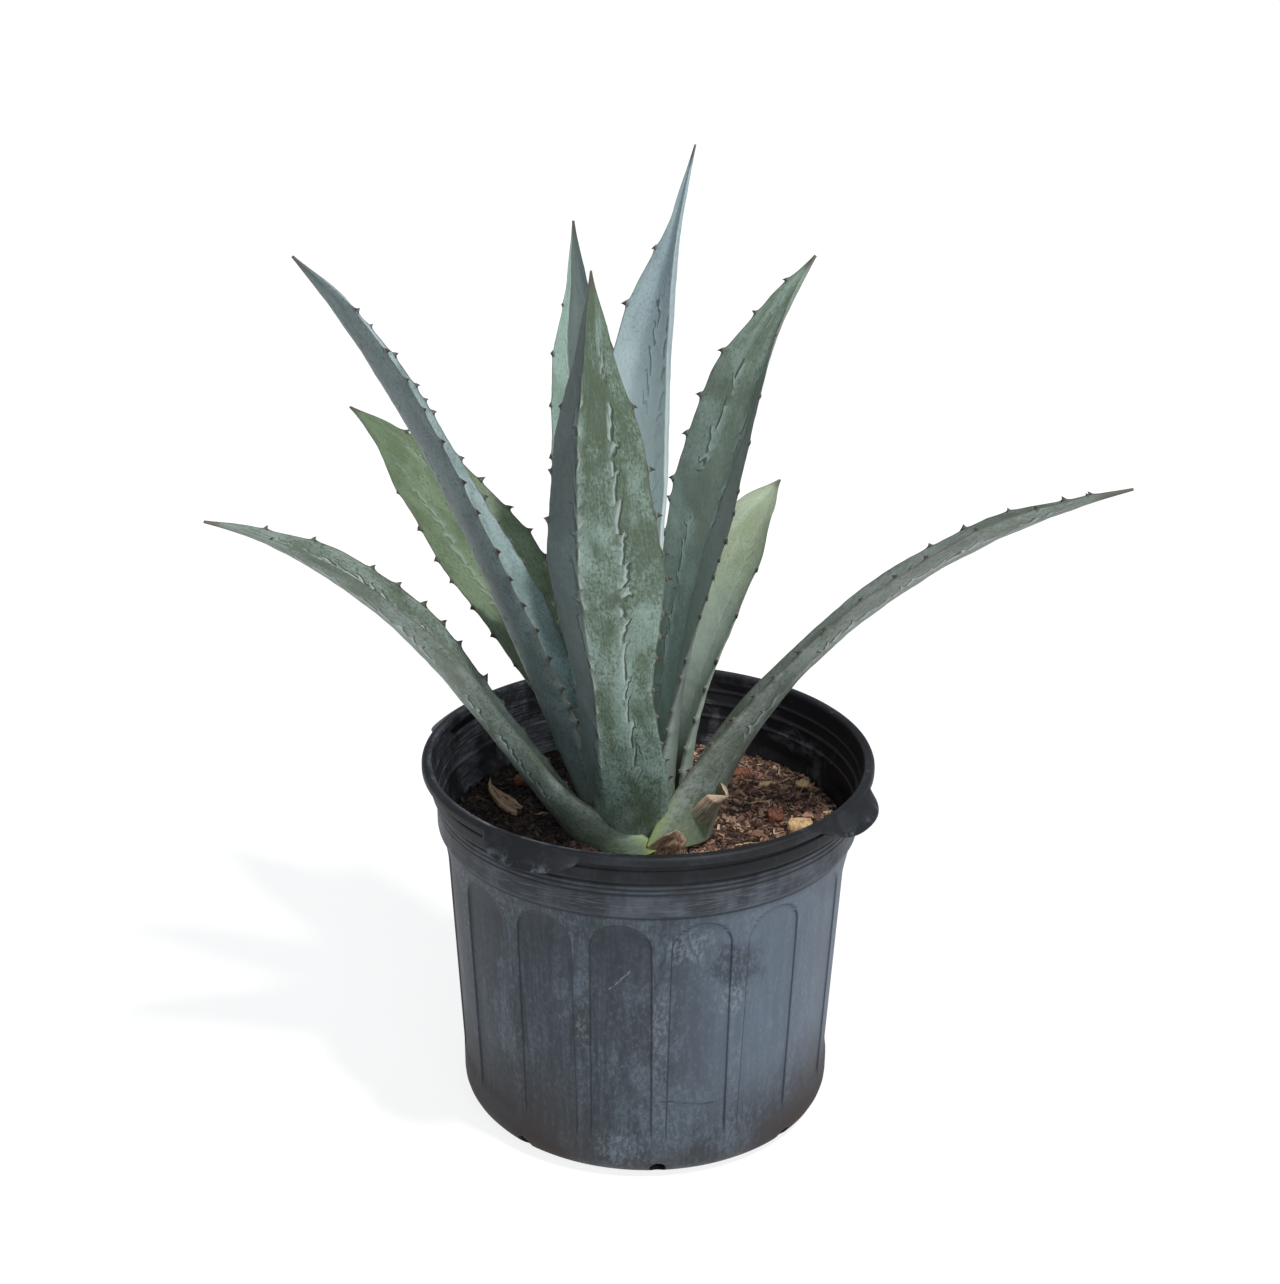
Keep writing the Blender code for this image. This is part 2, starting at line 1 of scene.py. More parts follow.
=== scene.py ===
# %% [markdown]
# # A young blue agave in its nursery pot
# The plant is a rosette of nine stiff, channelled leaves in a weathered plastic pot.
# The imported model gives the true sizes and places. This lesson dresses it: each plain
# solid is replaced with a finely shaped piece that sits in the same place.

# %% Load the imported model
import math
import random
from dataclasses import dataclass

import bmesh
import bpy
import numpy as np
from mathutils import Matrix, Vector, noise


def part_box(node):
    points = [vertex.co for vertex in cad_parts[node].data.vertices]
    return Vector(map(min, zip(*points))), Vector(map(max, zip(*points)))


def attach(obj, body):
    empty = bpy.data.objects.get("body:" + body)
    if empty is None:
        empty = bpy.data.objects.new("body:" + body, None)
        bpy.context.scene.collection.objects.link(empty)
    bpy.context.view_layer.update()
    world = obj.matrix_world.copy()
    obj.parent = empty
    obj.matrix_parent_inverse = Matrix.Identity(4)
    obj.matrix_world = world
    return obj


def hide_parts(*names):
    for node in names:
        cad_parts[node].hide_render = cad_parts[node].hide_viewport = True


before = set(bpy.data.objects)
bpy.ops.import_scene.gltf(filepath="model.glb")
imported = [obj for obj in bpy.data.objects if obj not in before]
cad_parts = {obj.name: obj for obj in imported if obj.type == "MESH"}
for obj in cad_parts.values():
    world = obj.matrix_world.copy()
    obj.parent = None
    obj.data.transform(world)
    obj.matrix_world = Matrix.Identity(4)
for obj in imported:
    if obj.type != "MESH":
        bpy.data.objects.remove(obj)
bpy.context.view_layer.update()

# %% [markdown]
# ## The view
# A camera is only a matrix and a lens. It looks down on the pot by some twenty degrees
# from the front. The matrix is built from three directions, so that a small lean of the
# horizon can be put in without guessing at Euler angles.

# %% Place the camera
CAMERA_PLACE = Vector((0.0, -1.400, 0.9006))
CAMERA_PITCH = math.radians(22.905)
CAMERA_YAW = math.radians(-0.233)
CAMERA_LEAN = math.radians(0.510)
CAMERA_LENS = 70.33


def place_camera():
    data = bpy.data.cameras.new("view")
    data.sensor_fit = "HORIZONTAL"
    data.sensor_width = 36.0
    data.lens = CAMERA_LENS
    forward = Vector((math.sin(CAMERA_YAW) * math.cos(CAMERA_PITCH),
                      math.cos(CAMERA_YAW) * math.cos(CAMERA_PITCH), -math.sin(CAMERA_PITCH)))
    level = forward.cross(Vector((0.0, 0.0, 1.0))).normalized()
    upright = level.cross(forward)
    right = level * math.cos(CAMERA_LEAN) + upright * math.sin(CAMERA_LEAN)
    up = upright * math.cos(CAMERA_LEAN) - level * math.sin(CAMERA_LEAN)
    camera = bpy.data.objects.new("view", data)
    bpy.context.scene.collection.objects.link(camera)
    turn = Matrix((right, up, -forward)).transposed()
    camera.matrix_world = Matrix.Translation(CAMERA_PLACE) @ turn.to_4x4()
    bpy.context.scene.camera = camera
    return camera


camera = place_camera()
print("camera at", tuple(round(value, 3) for value in camera.location))

# %% [markdown]
# ## Writing finishes as sums
# A finish is a little network of nodes. Wiring it by hand is slow to read, so one class
# wraps a socket and gives it Python's arithmetic: `1 - mask` adds a Math node by itself.
# A second class holds the material and has one method for every other kind of node.


# %% Define the finish kit
MARK_RADIUS = 0.120


class Signal:
    """A number, colour or vector that runs between the nodes of one finish."""

    def __init__(self, finish, socket):
        self.finish = finish
        self.socket = socket

    def __add__(self, other):
        return self.finish.maths("ADD", self, other)

    def __radd__(self, other):
        return self.finish.maths("ADD", other, self)

    def __sub__(self, other):
        return self.finish.maths("SUBTRACT", self, other)

    def __rsub__(self, other):
        return self.finish.maths("SUBTRACT", other, self)

    def __mul__(self, other):
        return self.finish.maths("MULTIPLY", self, other)

    def __rmul__(self, other):
        return self.finish.maths("MULTIPLY", other, self)

    def __abs__(self):
        return self.finish.maths("ABSOLUTE", self)

    def rise(self, low, high):
        """Eases from 0 at low to 1 at high; low may lie above high."""
        settings = {"interpolation_type": "SMOOTHSTEP"}
        first, last = (low, high) if low < high else (high, low)
        eased = self.finish.node("ShaderNodeMapRange", settings,
                                 {"Value": self, "From Min": first, "From Max": last})
        return eased if low < high else 1 - eased


class Finish:
    """One material, with short ways to add nodes to it."""

    def __init__(self, name, roughness=0.6, specular=0.5):
        self.material = bpy.data.materials.new(name)
        self.material.use_nodes = True
        self.tree = self.material.node_tree
        self.shader = self.tree.nodes["Principled BSDF"]
        self.shader.inputs["Roughness"].default_value = roughness
        self.shader.inputs["Specular IOR Level"].default_value = specular

    def node(self, kind, settings=None, sockets=None, output=0):
        made = self.tree.nodes.new(kind)
        for key, value in (settings or {}).items():
            if key == "stops":
                self.fill_ramp(made.color_ramp, value)
            else:
                setattr(made, key, value)
        for key, value in (sockets or {}).items():
            self.feed(made.inputs[key], value)
        return Signal(self, made.outputs[output])

    def feed(self, socket, value):
        if isinstance(value, Signal):
            self.tree.links.new(value.socket, socket)
        elif socket.type == "RGBA":
            socket.default_value = (*value, 1.0)
        else:
            socket.default_value = value

    def fill_ramp(self, ramp, stops):
        while len(ramp.elements) < len(stops):
            ramp.elements.new(1.0)
        for element, (place, colour) in zip(ramp.elements, stops):
            element.position = place
            element.color = (*colour, 1.0)

    def maths(self, operation, first, second=None):
        sockets = {0: first} if second is None else {0: first, 1: second}
        return self.node("ShaderNodeMath", {"operation": operation}, sockets)

    def mix(self, share, first, second, way="MIX"):
        settings = {"data_type": "RGBA", "blend_type": way}
        return self.node("ShaderNodeMix", settings, {0: share, 6: first, 7: second}, 2)

    def axis(self, vector, index):
        """One part of a vector: 0 runs to the right, 1 to the back and 2 up."""
        return self.node("ShaderNodeSeparateXYZ", None, {0: vector}, index)

    def stretch(self, vector, factors):
        return self.node("ShaderNodeVectorMath", {"operation": "MULTIPLY"},
                         {0: vector, 1: factors})

    def spot(self, place, azimuth, height, radius, ragged):
        """Shows 1 at a spot on the pot wall and fades to 0 at its ragged edge."""
        turned = math.radians(azimuth)
        centre = (MARK_RADIUS * math.sin(turned), -MARK_RADIUS * math.cos(turned), height)
        distance = self.node("ShaderNodeVectorMath", {"operation": "DISTANCE"},
                             {0: place, 1: centre}, 1)
        return (distance + (ragged - 0.5) * radius * 2.2).rise(radius * 1.2, radius * 0.5)

    def places(self):
        """The object's own coordinates, in metres."""
        return self.node("ShaderNodeTexCoord", output=3)

    def value(self, name):
        """A number painted on the mesh, point by point."""
        return self.node("ShaderNodeAttribute", {"attribute_name": name}, output=2)

    def cloud(self, vector, scale, detail=3.0, roughness=0.55, warp=0.0):
        return self.node("ShaderNodeTexNoise", None,
                         {"Vector": vector, "Scale": scale, "Detail": detail,
                          "Roughness": roughness, "Distortion": warp})

    def colour(self, signal):
        self.feed(self.shader.inputs["Base Color"], signal)

    def roughness(self, signal):
        self.feed(self.shader.inputs["Roughness"], signal)

    def relief(self, height, depth):
        """Bumps the surface by a height of 0 to 1 that stands for depth in metres."""
        bump = self.node("ShaderNodeBump", None,
                         {"Height": height, "Distance": depth, "Strength": 1.0})
        self.feed(self.shader.inputs["Normal"], bump)


print("finish kit ready")

# %% [markdown]
# ## Making a piece
# Every piece is a list of points and a list of faces. Numbers can be painted on the
# points too: how far along the leaf a point lies, or how deep in a crease. The finish
# reads them by name, so colour can follow the shape exactly.


# %% Define the piece kit
def add_mesh(name, points, faces, finish, values=None):
    mesh = bpy.data.meshes.new(name)
    mesh.from_pydata([tuple(point) for point in points], [], faces)
    for key, numbers in (values or {}).items():
        layer = mesh.attributes.new(key, "FLOAT", "POINT")
        layer.data.foreach_set("value", np.asarray(numbers, np.float32))
    tidy = bmesh.new()
    tidy.from_mesh(mesh)
    bmesh.ops.recalc_face_normals(tidy, faces=tidy.faces)
    tidy.to_mesh(mesh)
    tidy.free()
    mesh.shade_smooth()
    mesh.materials.append(finish.material)
    piece = bpy.data.objects.new(name, mesh)
    bpy.context.scene.collection.objects.link(piece)
    return piece


def settle(piece, slot, *nodes):
    """Ties a finished piece to the model, in place of the plain solids it stands for."""
    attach(piece, "root")
    if nodes:
        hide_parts(*nodes)
    print(piece.name, len(piece.data.polygons), "faces")
    return piece


def ring_faces(rows, columns):
    """Quads between closed rings of points."""
    faces = []
    for row in range(rows - 1):
        for column in range(columns):
            after = (column + 1) % columns
            faces.append((row * columns + column, row * columns + after,
                          (row + 1) * columns + after, (row + 1) * columns + column))
    return faces


def ease(value, low, high):
    share = np.clip((value - low) / (high - low), 0.0, 1.0)
    return share * share * (3.0 - 2.0 * share)


# %% [markdown]
# ## Floor and light
# A pale floor that glows a little stands in for a sheet of lit paper. One soft sun from
# the right gives each leaf a bright and a shaded side. A wide, weaker one in front opens
# the shadows, and a faint cool sky fills the shade.

# %% Lay the floor and set the lights
SUN_AZIMUTH = 47.0
SUN_HEIGHT = 63.0


def lay_floor():
    floor_finish = Finish("pale_floor", roughness=0.9, specular=0.1)
    speck = floor_finish.cloud(floor_finish.places(), 3.0)
    floor_finish.colour(floor_finish.mix(speck, (0.19, 0.19, 0.19), (0.21, 0.21, 0.21)))
    floor_finish.shader.inputs["Emission Color"].default_value = (1.0, 1.0, 1.0, 1.0)
    floor_finish.shader.inputs["Emission Strength"].default_value = 0.82
    reach = 30.0
    corners = [(-reach, -reach, 0.0), (reach, -reach, 0.0),
               (reach, reach, 0.0), (-reach, reach, 0.0)]
    floor = add_mesh("floor", corners, [(0, 1, 2, 3)], floor_finish)


def add_sun(name, azimuth, height, strength, softness, colour):
    data = bpy.data.lights.new(name, "SUN")
    data.energy = strength
    data.angle = math.radians(softness)
    data.color = colour
    azimuth, height = math.radians(azimuth), math.radians(height)
    towards = Vector((math.sin(azimuth) * math.cos(height),
                      -math.cos(azimuth) * math.cos(height), math.sin(height)))
    sun = bpy.data.objects.new(name, data)
    sun.rotation_euler = towards.to_track_quat("Z", "Y").to_euler()
    bpy.context.scene.collection.objects.link(sun)


def set_sky(colour, strength):
    sky = bpy.data.worlds.new("studio_sky")
    sky.use_nodes = True
    background = sky.node_tree.nodes["Background"]
    background.inputs["Color"].default_value = (*colour, 1.0)
    background.inputs["Strength"].default_value = strength
    bpy.context.scene.world = sky


lay_floor()
add_sun("key_light", SUN_AZIMUTH, SUN_HEIGHT, 2.6, 5.0, (1.0, 0.97, 0.92))
add_sun("front_fill", 16.0, 27.0, 0.95, 35.0, (0.95, 0.98, 1.0))
set_sky((0.86, 0.93, 1.0), 0.55)
bpy.context.scene.view_settings.view_transform = "Standard"
print("floor, sun and sky set")

# %% [markdown]
# ## The pot
# A nursery pot is blow-moulded: one thin skin with a rolled lip, a collar of bands, and
# sixteen shallow arched panels that stiffen the wall. A Screw modifier could turn the
# profile, but the panels, tabs and creases vary around it. So the outline is written as a
# list of rings, and each point is then pushed in or out by what lies at its azimuth.

# %% Set the pot's sizes
RIM_RADIUS = 0.140
POT_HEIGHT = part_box("nursery_pot")[1].z
WALL = 0.0016
SOIL_CROWN = 0.002
SOIL_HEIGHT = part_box("potting_mix")[1].z - SOIL_CROWN
PATTERN_TURN = -29.5
PANEL_COUNT = 16
PANEL_TOP = 0.1832
PANEL_FOOT = 0.030
PANEL_HALF_WIDTH = 0.0187
PANEL_DEPTH = 0.0012
TAB_HALF_ANGLE = 13.5
TAB_REACH = 0.0118
TAB_DROP = 0.0064
HOLLOWS = (0.1888, 0.2058, 0.2090, 0.2134, 0.2258)
FOOT_ROUND = 0.0165
FOOT_CENTRE = 0.1006
DRAIN_COUNT = 8
DRAIN_RADIUS = 0.0053
DRAIN_HEIGHT = 0.0068
print("pot height", round(POT_HEIGHT, 4), "soil height", round(SOIL_HEIGHT, 4))


# %% [markdown]
# The outline runs from the middle of the floor up the inside, over the lip and down the
# outside. Between the main corners extra rings are added where fine relief needs them.


# %% Draw the pot's outline
def lengthen(corners, spacing):
    """Adds rings between the corners of an outline, at most a spacing apart."""
    rings = []
    for start, end in zip(corners, corners[1:]):
        count = max(1, math.ceil(math.dist(start, end) / spacing))
        for step in range(count):
            share = step / count
            rings.append((start[0] + (end[0] - start[0]) * share,
                          start[1] + (end[1] - start[1]) * share))
    return [*rings, corners[-1]]


def corner_ring(offset, steps):
    """The rounded foot of the wall, from the base up to the wall."""
    radius = FOOT_ROUND - offset
    return [(FOOT_CENTRE + radius * math.sin(angle), FOOT_ROUND - radius * math.cos(angle))
            for angle in np.linspace(0.0, math.pi / 2, steps)]


def inside_outline():
    wall = [(0.1155, FOOT_ROUND), (0.1231, 0.1666), (0.1262, 0.1870)]
    collar = [(0.1282, 0.1905), (0.1286, 0.2030), (0.1280, 0.2040), (0.1296, 0.2052),
              (0.1299, 0.2118), (0.1293, 0.2130), (0.1310, 0.2143), (0.1316, 0.2200),
              (0.1312, 0.2212), (0.1322, 0.2225), (0.1330, 0.2290), (0.1334, 0.2325),
              (0.1341, 0.2341), (0.1352, POT_HEIGHT)]
    return ([(0.0004, WALL)] + lengthen(corner_ring(WALL, 5), 0.02)
            + lengthen([*wall, collar[0]], 0.006)[1:] + lengthen(collar, 0.0012)[1:])


def lip_outline():
    """Over the rolled lip and down its outer face, with each ring's share of the tab."""
    over = [(0.1372, POT_HEIGHT), (0.1386, POT_HEIGHT - 0.0003), (0.1395, POT_HEIGHT - 0.0010),
            (0.1399, POT_HEIGHT - 0.0019)]
    face = [(0.1400, POT_HEIGHT - 0.0019 - 0.0030 * step / 10) for step in range(1, 11)]
    shares = [0.0] * 4 + [step / 10 for step in range(1, 11)]
    edge = [(0.1398, POT_HEIGHT - 0.0053), (0.1393, POT_HEIGHT - 0.0056)]
    shares += [1.0, 0.94]
    under = [(0.1393 - 0.0059 * step / 8, POT_HEIGHT - 0.0056 - 0.0004 * step / 8)
             for step in range(1, 9)]
    shares += [0.94 * (1 - step / 8) for step in range(1, 9)]
    return over + face + edge + under, shares


def outside_outline():
    collar = [(0.1333, 0.2284), (0.1333, 0.2236), (0.1337, 0.2231), (0.1344, 0.2227),
              (0.1345, 0.2215), (0.1345, 0.2163), (0.1342, 0.2153), (0.1332, 0.2146),
              (0.1302, 0.2141), (0.1301, 0.2122), (0.1306, 0.2117), (0.1311, 0.2113),
              (0.1312, 0.2098), (0.1309, 0.2093), (0.1309, 0.2088), (0.1312, 0.2084),
              (0.1312, 0.2064), (0.1310, 0.2061), (0.1310, 0.2058), (0.1312, 0.2055),
              (0.1310, 0.1935), (0.1307, 0.1918), (0.1299, 0.1911), (0.1288, 0.1905),
              (0.1284, 0.1897)]
    flare = [(0.1284 - 0.0037 * (1 - (1 - share) ** 1.3), 0.1897 - 0.0231 * share)
             for share in np.linspace(0.0, 1.0, 34)]
    wall = lengthen([(0.1247, 0.1666), (0.1173, 0.036)], 0.010)
    foot = lengthen([(0.1173, 0.036), (0.1171, FOOT_ROUND)], 0.0016)
    corner = corner_ring(0.0, 9)[::-1]
    base = [(0.0996, 0.0), (0.0950, 0.0), (0.0940, 0.0012), (0.0004, 0.0012)]
    return lengthen(collar, 0.0011) + flare[1:] + wall[1:] + foot[1:] + corner[1:] + base


inside = inside_outline()
lip, tab_shares = lip_outline()
outside = outside_outline()
print("rings:", len(inside), len(lip), len(outside))


# %% [markdown]
# The panels are measured by how far inside an arch outline a point lies: the wall steps
# in over two millimetres, and a narrow crease runs round the edge. The tabs are drawn
# out of the lip's lower edge like a spout, with a full, rounded outline.


# %% Shape the pot's rings
def column_angles():
    """Azimuths that crowd together at the panel edges."""
    half = np.concatenate([np.linspace(0.0, 7.4, 8), np.linspace(7.7, 9.7, 12),
                           np.linspace(10.1, 11.25, 3)])
    pitch = np.unique(np.round(np.concatenate([-half, half]), 5))[:-1]
    centres = PATTERN_TURN + np.arange(PANEL_COUNT) * 360.0 / PANEL_COUNT
    return np.sort((centres[:, None] + pitch[None, :]).ravel())


def from_nearest(angles, count):
    """Degrees from the nearest of a number of evenly spaced features."""
    pitch = 360.0 / count
    return (angles - PATTERN_TURN + pitch / 2) % pitch - pitch / 2


def panel_edge(angles, radius, height):
    """Distance inside the arched outline of the nearest panel, in metres."""
    sideways = np.abs(np.radians(from_nearest(angles, PANEL_COUNT))) * radius
    crown = PANEL_TOP - PANEL_HALF_WIDTH
    if height > crown:
        return PANEL_HALF_WIDTH - np.hypot(sideways, height - crown)
    return PANEL_HALF_WIDTH - sideways


def tab_fullness(angles):
    share = np.abs(from_nearest(angles, 4)) / TAB_HALF_ANGLE
    return np.clip(1.0 - share ** 2.6, 0.0, 1.0) ** 0.8


def pot_mesh(finish):
    angles = column_angles()
    heading = np.stack([np.sin(np.radians(angles)), -np.cos(np.radians(angles))], 1)
    tab = tab_fullness(angles)
    points, crease, inner, worn, ribs, panel = [], [], [], [], [], []
    rows = [(*ring, 0.0, 1.0) for ring in inside]
    rows += [(*ring, share, 0.0) for ring, share in zip(lip, tab_shares)]
    rows += [(*ring, 0.0, 0.0) for ring in outside]
    for radius, height, share, is_inside in rows:
        edge = panel_edge(angles, max(radius, 0.11), height)
        on_wall = float(ease(np.array(height), PANEL_FOOT - 0.004, PANEL_FOOT + 0.006))
        on_wall *= 0.0 if radius < 0.1 or height > 0.188 else 1.0
        sunk = on_wall * PANEL_DEPTH * ease(edge, -0.0004, 0.0016)
        groove = on_wall * np.exp(-((edge - 0.0002) / 0.0005) ** 2)
        out = radius - sunk - (0.0 if is_inside else 0.00035) * groove
        out = out + TAB_REACH * tab * share
        drop = TAB_DROP * tab * share ** 1.4
        if is_inside and height > 0.2140:
            out = out + 0.0012 * tab * math.sin(math.pi * min(1.0, (height - 0.2140) / 0.0185))
        ring = np.column_stack([heading * out[:, None], height - drop])
        points.append(ring)
        # crease marks the panel grooves and the collar hollows, which the finish darkens as painted
        # shade
        hollow = sum(math.exp(-((height - low) / 0.0009) ** 2) for low in HOLLOWS)
        crease.append(np.maximum(groove, 0.0 if is_inside else min(1.0, hollow)))
        ribs.append(on_wall * ease(edge, 0.0002, -0.0022))
        panel.append(on_wall * ease(edge, -0.0005, 0.0015))
        inner.append(np.full(len(angles), is_inside))
        # the lower rim of each tab is marked for wear and for a painted highlight
        worn.append(tab * ease(np.array(share), 0.55, 0.95))
    count = len(angles)
    faces = ring_faces(len(rows), count)
    faces.append(tuple(range(count - 1, -1, -1)))
    last = (len(rows) - 1) * count
    faces.append(tuple(range(last, last + count)))
    values = {"crease": np.concatenate(crease), "inner": np.concatenate(inner),
              "worn": np.concatenate(worn), "ribs": np.concatenate(ribs),
              "panel": np.concatenate(panel)}
    return add_mesh("weathered_pot", np.concatenate(points), faces, finish, values)


# %% [markdown]
# Drain holes sit at the foot of every other rib. They are cut with one Boolean by eight
# small cylinders in a single mesh.


# %% Cut the drain holes
def cut_drain_holes(pot):
    bits = bmesh.new()
    for index in range(DRAIN_COUNT):
        azimuth = math.radians(PATTERN_TURN + (index + 0.75) * 360.0 / DRAIN_COUNT)
        heading = Vector((math.sin(azimuth), -math.cos(azimuth), 0.0))
        place = Matrix.Translation(heading * 0.1171 + Vector((0.0, 0.0, DRAIN_HEIGHT)))
        turn = heading.to_track_quat("Z", "Y").to_matrix().to_4x4()
        bmesh.ops.create_cone(bits, cap_ends=True, segments=32, radius1=DRAIN_RADIUS,
                              radius2=DRAIN_RADIUS, depth=0.036, matrix=place @ turn)
    mesh = bpy.data.meshes.new("drain_bits")
    bits.to_mesh(mesh)
    bits.free()
    cutter = bpy.data.objects.new("drain_bits", mesh)
    bpy.context.scene.collection.objects.link(cutter)
    cut = pot.modifiers.new("drain holes", "BOOLEAN")
    cut.operation = "DIFFERENCE"
    cut.object = cutter
    bpy.context.view_layer.update()
    graph = bpy.context.evaluated_depsgraph_get()
    drilled = bpy.data.meshes.new_from_object(pot.evaluated_get(graph))
    pot.modifiers.clear()
    pot.data = drilled
    bpy.data.objects.remove(cutter)


# %% [markdown]
# The plastic was black. Sun and hard water have turned the wall a slate blue dulled by dust,
# with upright streaks, while the collar stays darker. Chalk gathers on the ribs and panel
# tops, soil splash browns the foot, and the tabs are rubbed pale along their edges, a pale
# that also carries a painted highlight.


# %% Mix the weathered plastic
BARE_BLACK = (0.007, 0.008, 0.010)
# each scratch runs from one place (right, up) on the front to another, in its own tone
SCRATCHES = (
    (-0.022, 0.137, -0.009, 0.151, (0.170, 0.195, 0.215)),
    (0.012, 0.160, 0.030, 0.165, (0.130, 0.150, 0.168)),
    (0.008, 0.060, 0.044, 0.052, (0.012, 0.013, 0.016)),
)


def weathered_plastic():
    finish = Finish("weathered_black_plastic", roughness=0.5, specular=0.22)
    place = finish.places()
    sideways, depth, height = (finish.axis(place, index) for index in range(3))
    crease, inner = finish.value("crease"), finish.value("inner")
    worn, ribs = finish.value("worn"), finish.value("ribs")
    broad = finish.cloud(place, 14.0, 4.0)
    patchy = finish.cloud(finish.stretch(place, (1.0, 1.0, 0.5)), 26.0, 5.0, 0.62, 0.4)
    streak = finish.cloud(finish.stretch(place, (1.0, 1.0, 0.05)), 240.0, 6.0, 0.70)
    level = finish.cloud(finish.stretch(place, (0.25, 0.25, 4.0)), 260.0, 4.0, 0.65)
    blotch = finish.cloud(place, 42.0, 6.0, 0.7, 0.6)
    wall = height.rise(0.195, 0.186)
    grain = finish.cloud(finish.stretch(place, (1.0, 1.0, 0.6)), 420.0, 4.0, 0.75)
    faded = finish.mix(streak.rise(0.40, 0.62), (0.030, 0.040, 0.050), (0.064, 0.082, 0.102))
    faded = finish.mix(broad.rise(0.42, 0.60) * 0.6, faded, (0.034, 0.041, 0.050))
    faded = finish.mix(patchy.rise(0.50, 0.60) * 0.50, faded, (0.098, 0.123, 0.152))
    faded = finish.mix(grain.rise(0.56, 0.44) * 0.45, faded, (0.022, 0.027, 0.034))
    faded = finish.mix(grain.rise(0.56, 0.68) * 0.26, faded, (0.150, 0.172, 0.190))
    arch = finish.value("panel") * height.rise(0.110, 0.170) * sideways.rise(0.070, -0.010)
    faded = finish.mix(arch * 0.62, faded, (0.020, 0.025, 0.031))
    dark = finish.mix(blotch.rise(0.45, 0.70) * 0.6, BARE_BLACK, (0.024, 0.028, 0.035))
    scuffed = finish.mix(patchy.rise(0.42, 0.62), (0.022, 0.026, 0.032), (0.060, 0.070, 0.086))
    scuffed = finish.mix(level.rise(0.50, 0.64) * 0.45, scuffed, (0.110, 0.125, 0.150))
    collar = finish.mix(height.rise(0.2125, 0.2105), dark, scuffed)
    colour = finish.mix(wall, collar, faded)
    chalk = finish.spot(place, 12.0, 0.165, 0.015, blotch) * grain.rise(0.42, 0.62)
    chalk = chalk + finish.spot(place, -6.0, 0.016, 0.020, blotch) * grain.rise(0.46, 0.60) * 0.6
    colour = finish.mix(chalk * 0.34, colour, (0.230, 0.265, 0.295))
    powder = ribs * grain.rise(0.46, 0.62) * broad.rise(0.44, 0.60) * wall
    colour = finish.mix(powder * 0.32, colour, (0.160, 0.180, 0.195))
    # painted light: the right of the wall is lightened and blued, partly for dust and partly as
    # painted sunlight and sheen on the lit side
    right_dust_and_light = sideways.rise(-0.005, 0.070) * wall * height.rise(0.020, 0.080) * 0.40
    colour = finish.mix(right_dust_and_light, colour, (0.150, 0.190, 0.255))
    stain = finish.spot(place, 26.0, 0.148, 0.019, blotch) * (grain.rise(0.62, 0.46) * 0.6 + 0.3)
    stain = stain + finish.spot(place, 4.0, 0.150, 0.014, blotch) * 0.45
    colour = finish.mix(stain * 0.62, colour, (0.014, 0.016, 0.020))
    halo = finish.spot(place, 25.0, 0.128, 0.012, blotch) * grain.rise(0.46, 0.60)
    colour = finish.mix(halo * 0.35, colour, (0.200, 0.230, 0.260))
    foot = height.rise(0.085, 0.010) * abs(sideways - 0.020).rise(0.025, 0.085)
    foot = foot + height.rise(0.035, 0.002) * broad.rise(0.35, 0.55) * 0.6
    colour = finish.mix(foot * 0.85, colour, (0.036, 0.029, 0.028))
    # painted shade: the grooves round the panels and the hollows between the collar bands are
    # darkened to near black
    colour = finish.mix(crease * 0.85, colour, BARE_BLACK)
    for x0, z0, x1, z1, tone in SCRATCHES:
        along_it = (sideways - x0) * (1.0 / (x1 - x0))
        off_it = abs(height - z0 - along_it * (z1 - z0) + (patchy - 0.5) * 0.012
                     + (blotch - 0.5) * 0.005)
        seen = off_it.rise(0.0011, 0.0003) * along_it.rise(-0.05, 0.10) * along_it.rise(1.05, 0.90)
        seen = seen * depth.rise(0.0, -0.02) * grain.rise(0.40, 0.58)
        colour = finish.mix(seen * 0.75, colour, tone)
    # the tabs' lower rims are painted pale, partly for rubbed wear and partly as a painted
    # highlight
    colour = finish.mix(worn * blotch.rise(0.48, 0.60) * 0.42, colour, (0.140, 0.165, 0.200))
    deep = finish.mix(blotch.rise(0.54, 0.66) * 0.6, (0.006, 0.006, 0.008), (0.080, 0.084, 0.096))
    # painted light: the left and back of the inner wall are painted as sunlit, brightest along the
    # scuffs, whose pale streaks are painted glints
    behind = depth.rise(0.060, 0.125)
    sunlit = sideways.rise(0.020, -0.110) * 0.8 + behind * sideways.rise(0.100, 0.0) * 0.8
    scuff_glints = patchy.rise(0.44, 0.58) * (level.rise(0.44, 0.58) * 0.8 + 0.2) + 0.12
    deep = finish.mix(sunlit * scuff_glints, deep, (0.180, 0.180, 0.205))
    colour = finish.mix(inner, colour, deep)
    finish.colour(colour)
    finish.roughness(0.42 + streak * 0.22 + foot * 0.2 + chalk * 0.2 - inner * 0.06)
    finish.relief(streak * 0.3 + grain * 0.4 + blotch * 0.4, 0.00035)
    return finish


pot_finish = weathered_plastic()
pot = pot_mesh(pot_finish)
cut_drain_holes(pot)
settle(pot, "pot_plastic", "nursery_pot")

# %% [markdown]
# ## The potting mix
# Bark and peat settle into a rough, slightly crowned bed. The bed itself is one closed
# body with a lumpy top. Thousands of slivers and crumbs lie over it as real geometry,
# because a bump alone would look flat at the rim.


# %% Lay the soil bed
SOIL_RADIUS = 0.1255


def soil_top(x, y):
    """Height of the bed at a place, with its lumps."""
    reach = min(math.hypot(x, y) / SOIL_RADIUS, 1.0)
    place = Vector((x, y, 0.0))
    lumps = noise.fractal(place * 55.0, 0.8, 2.0, 4) * 0.0016
    lumps += noise.noise(place * 380.0) * 0.0007
    return SOIL_HEIGHT + SOIL_CROWN * (1.0 - reach * reach) + lumps


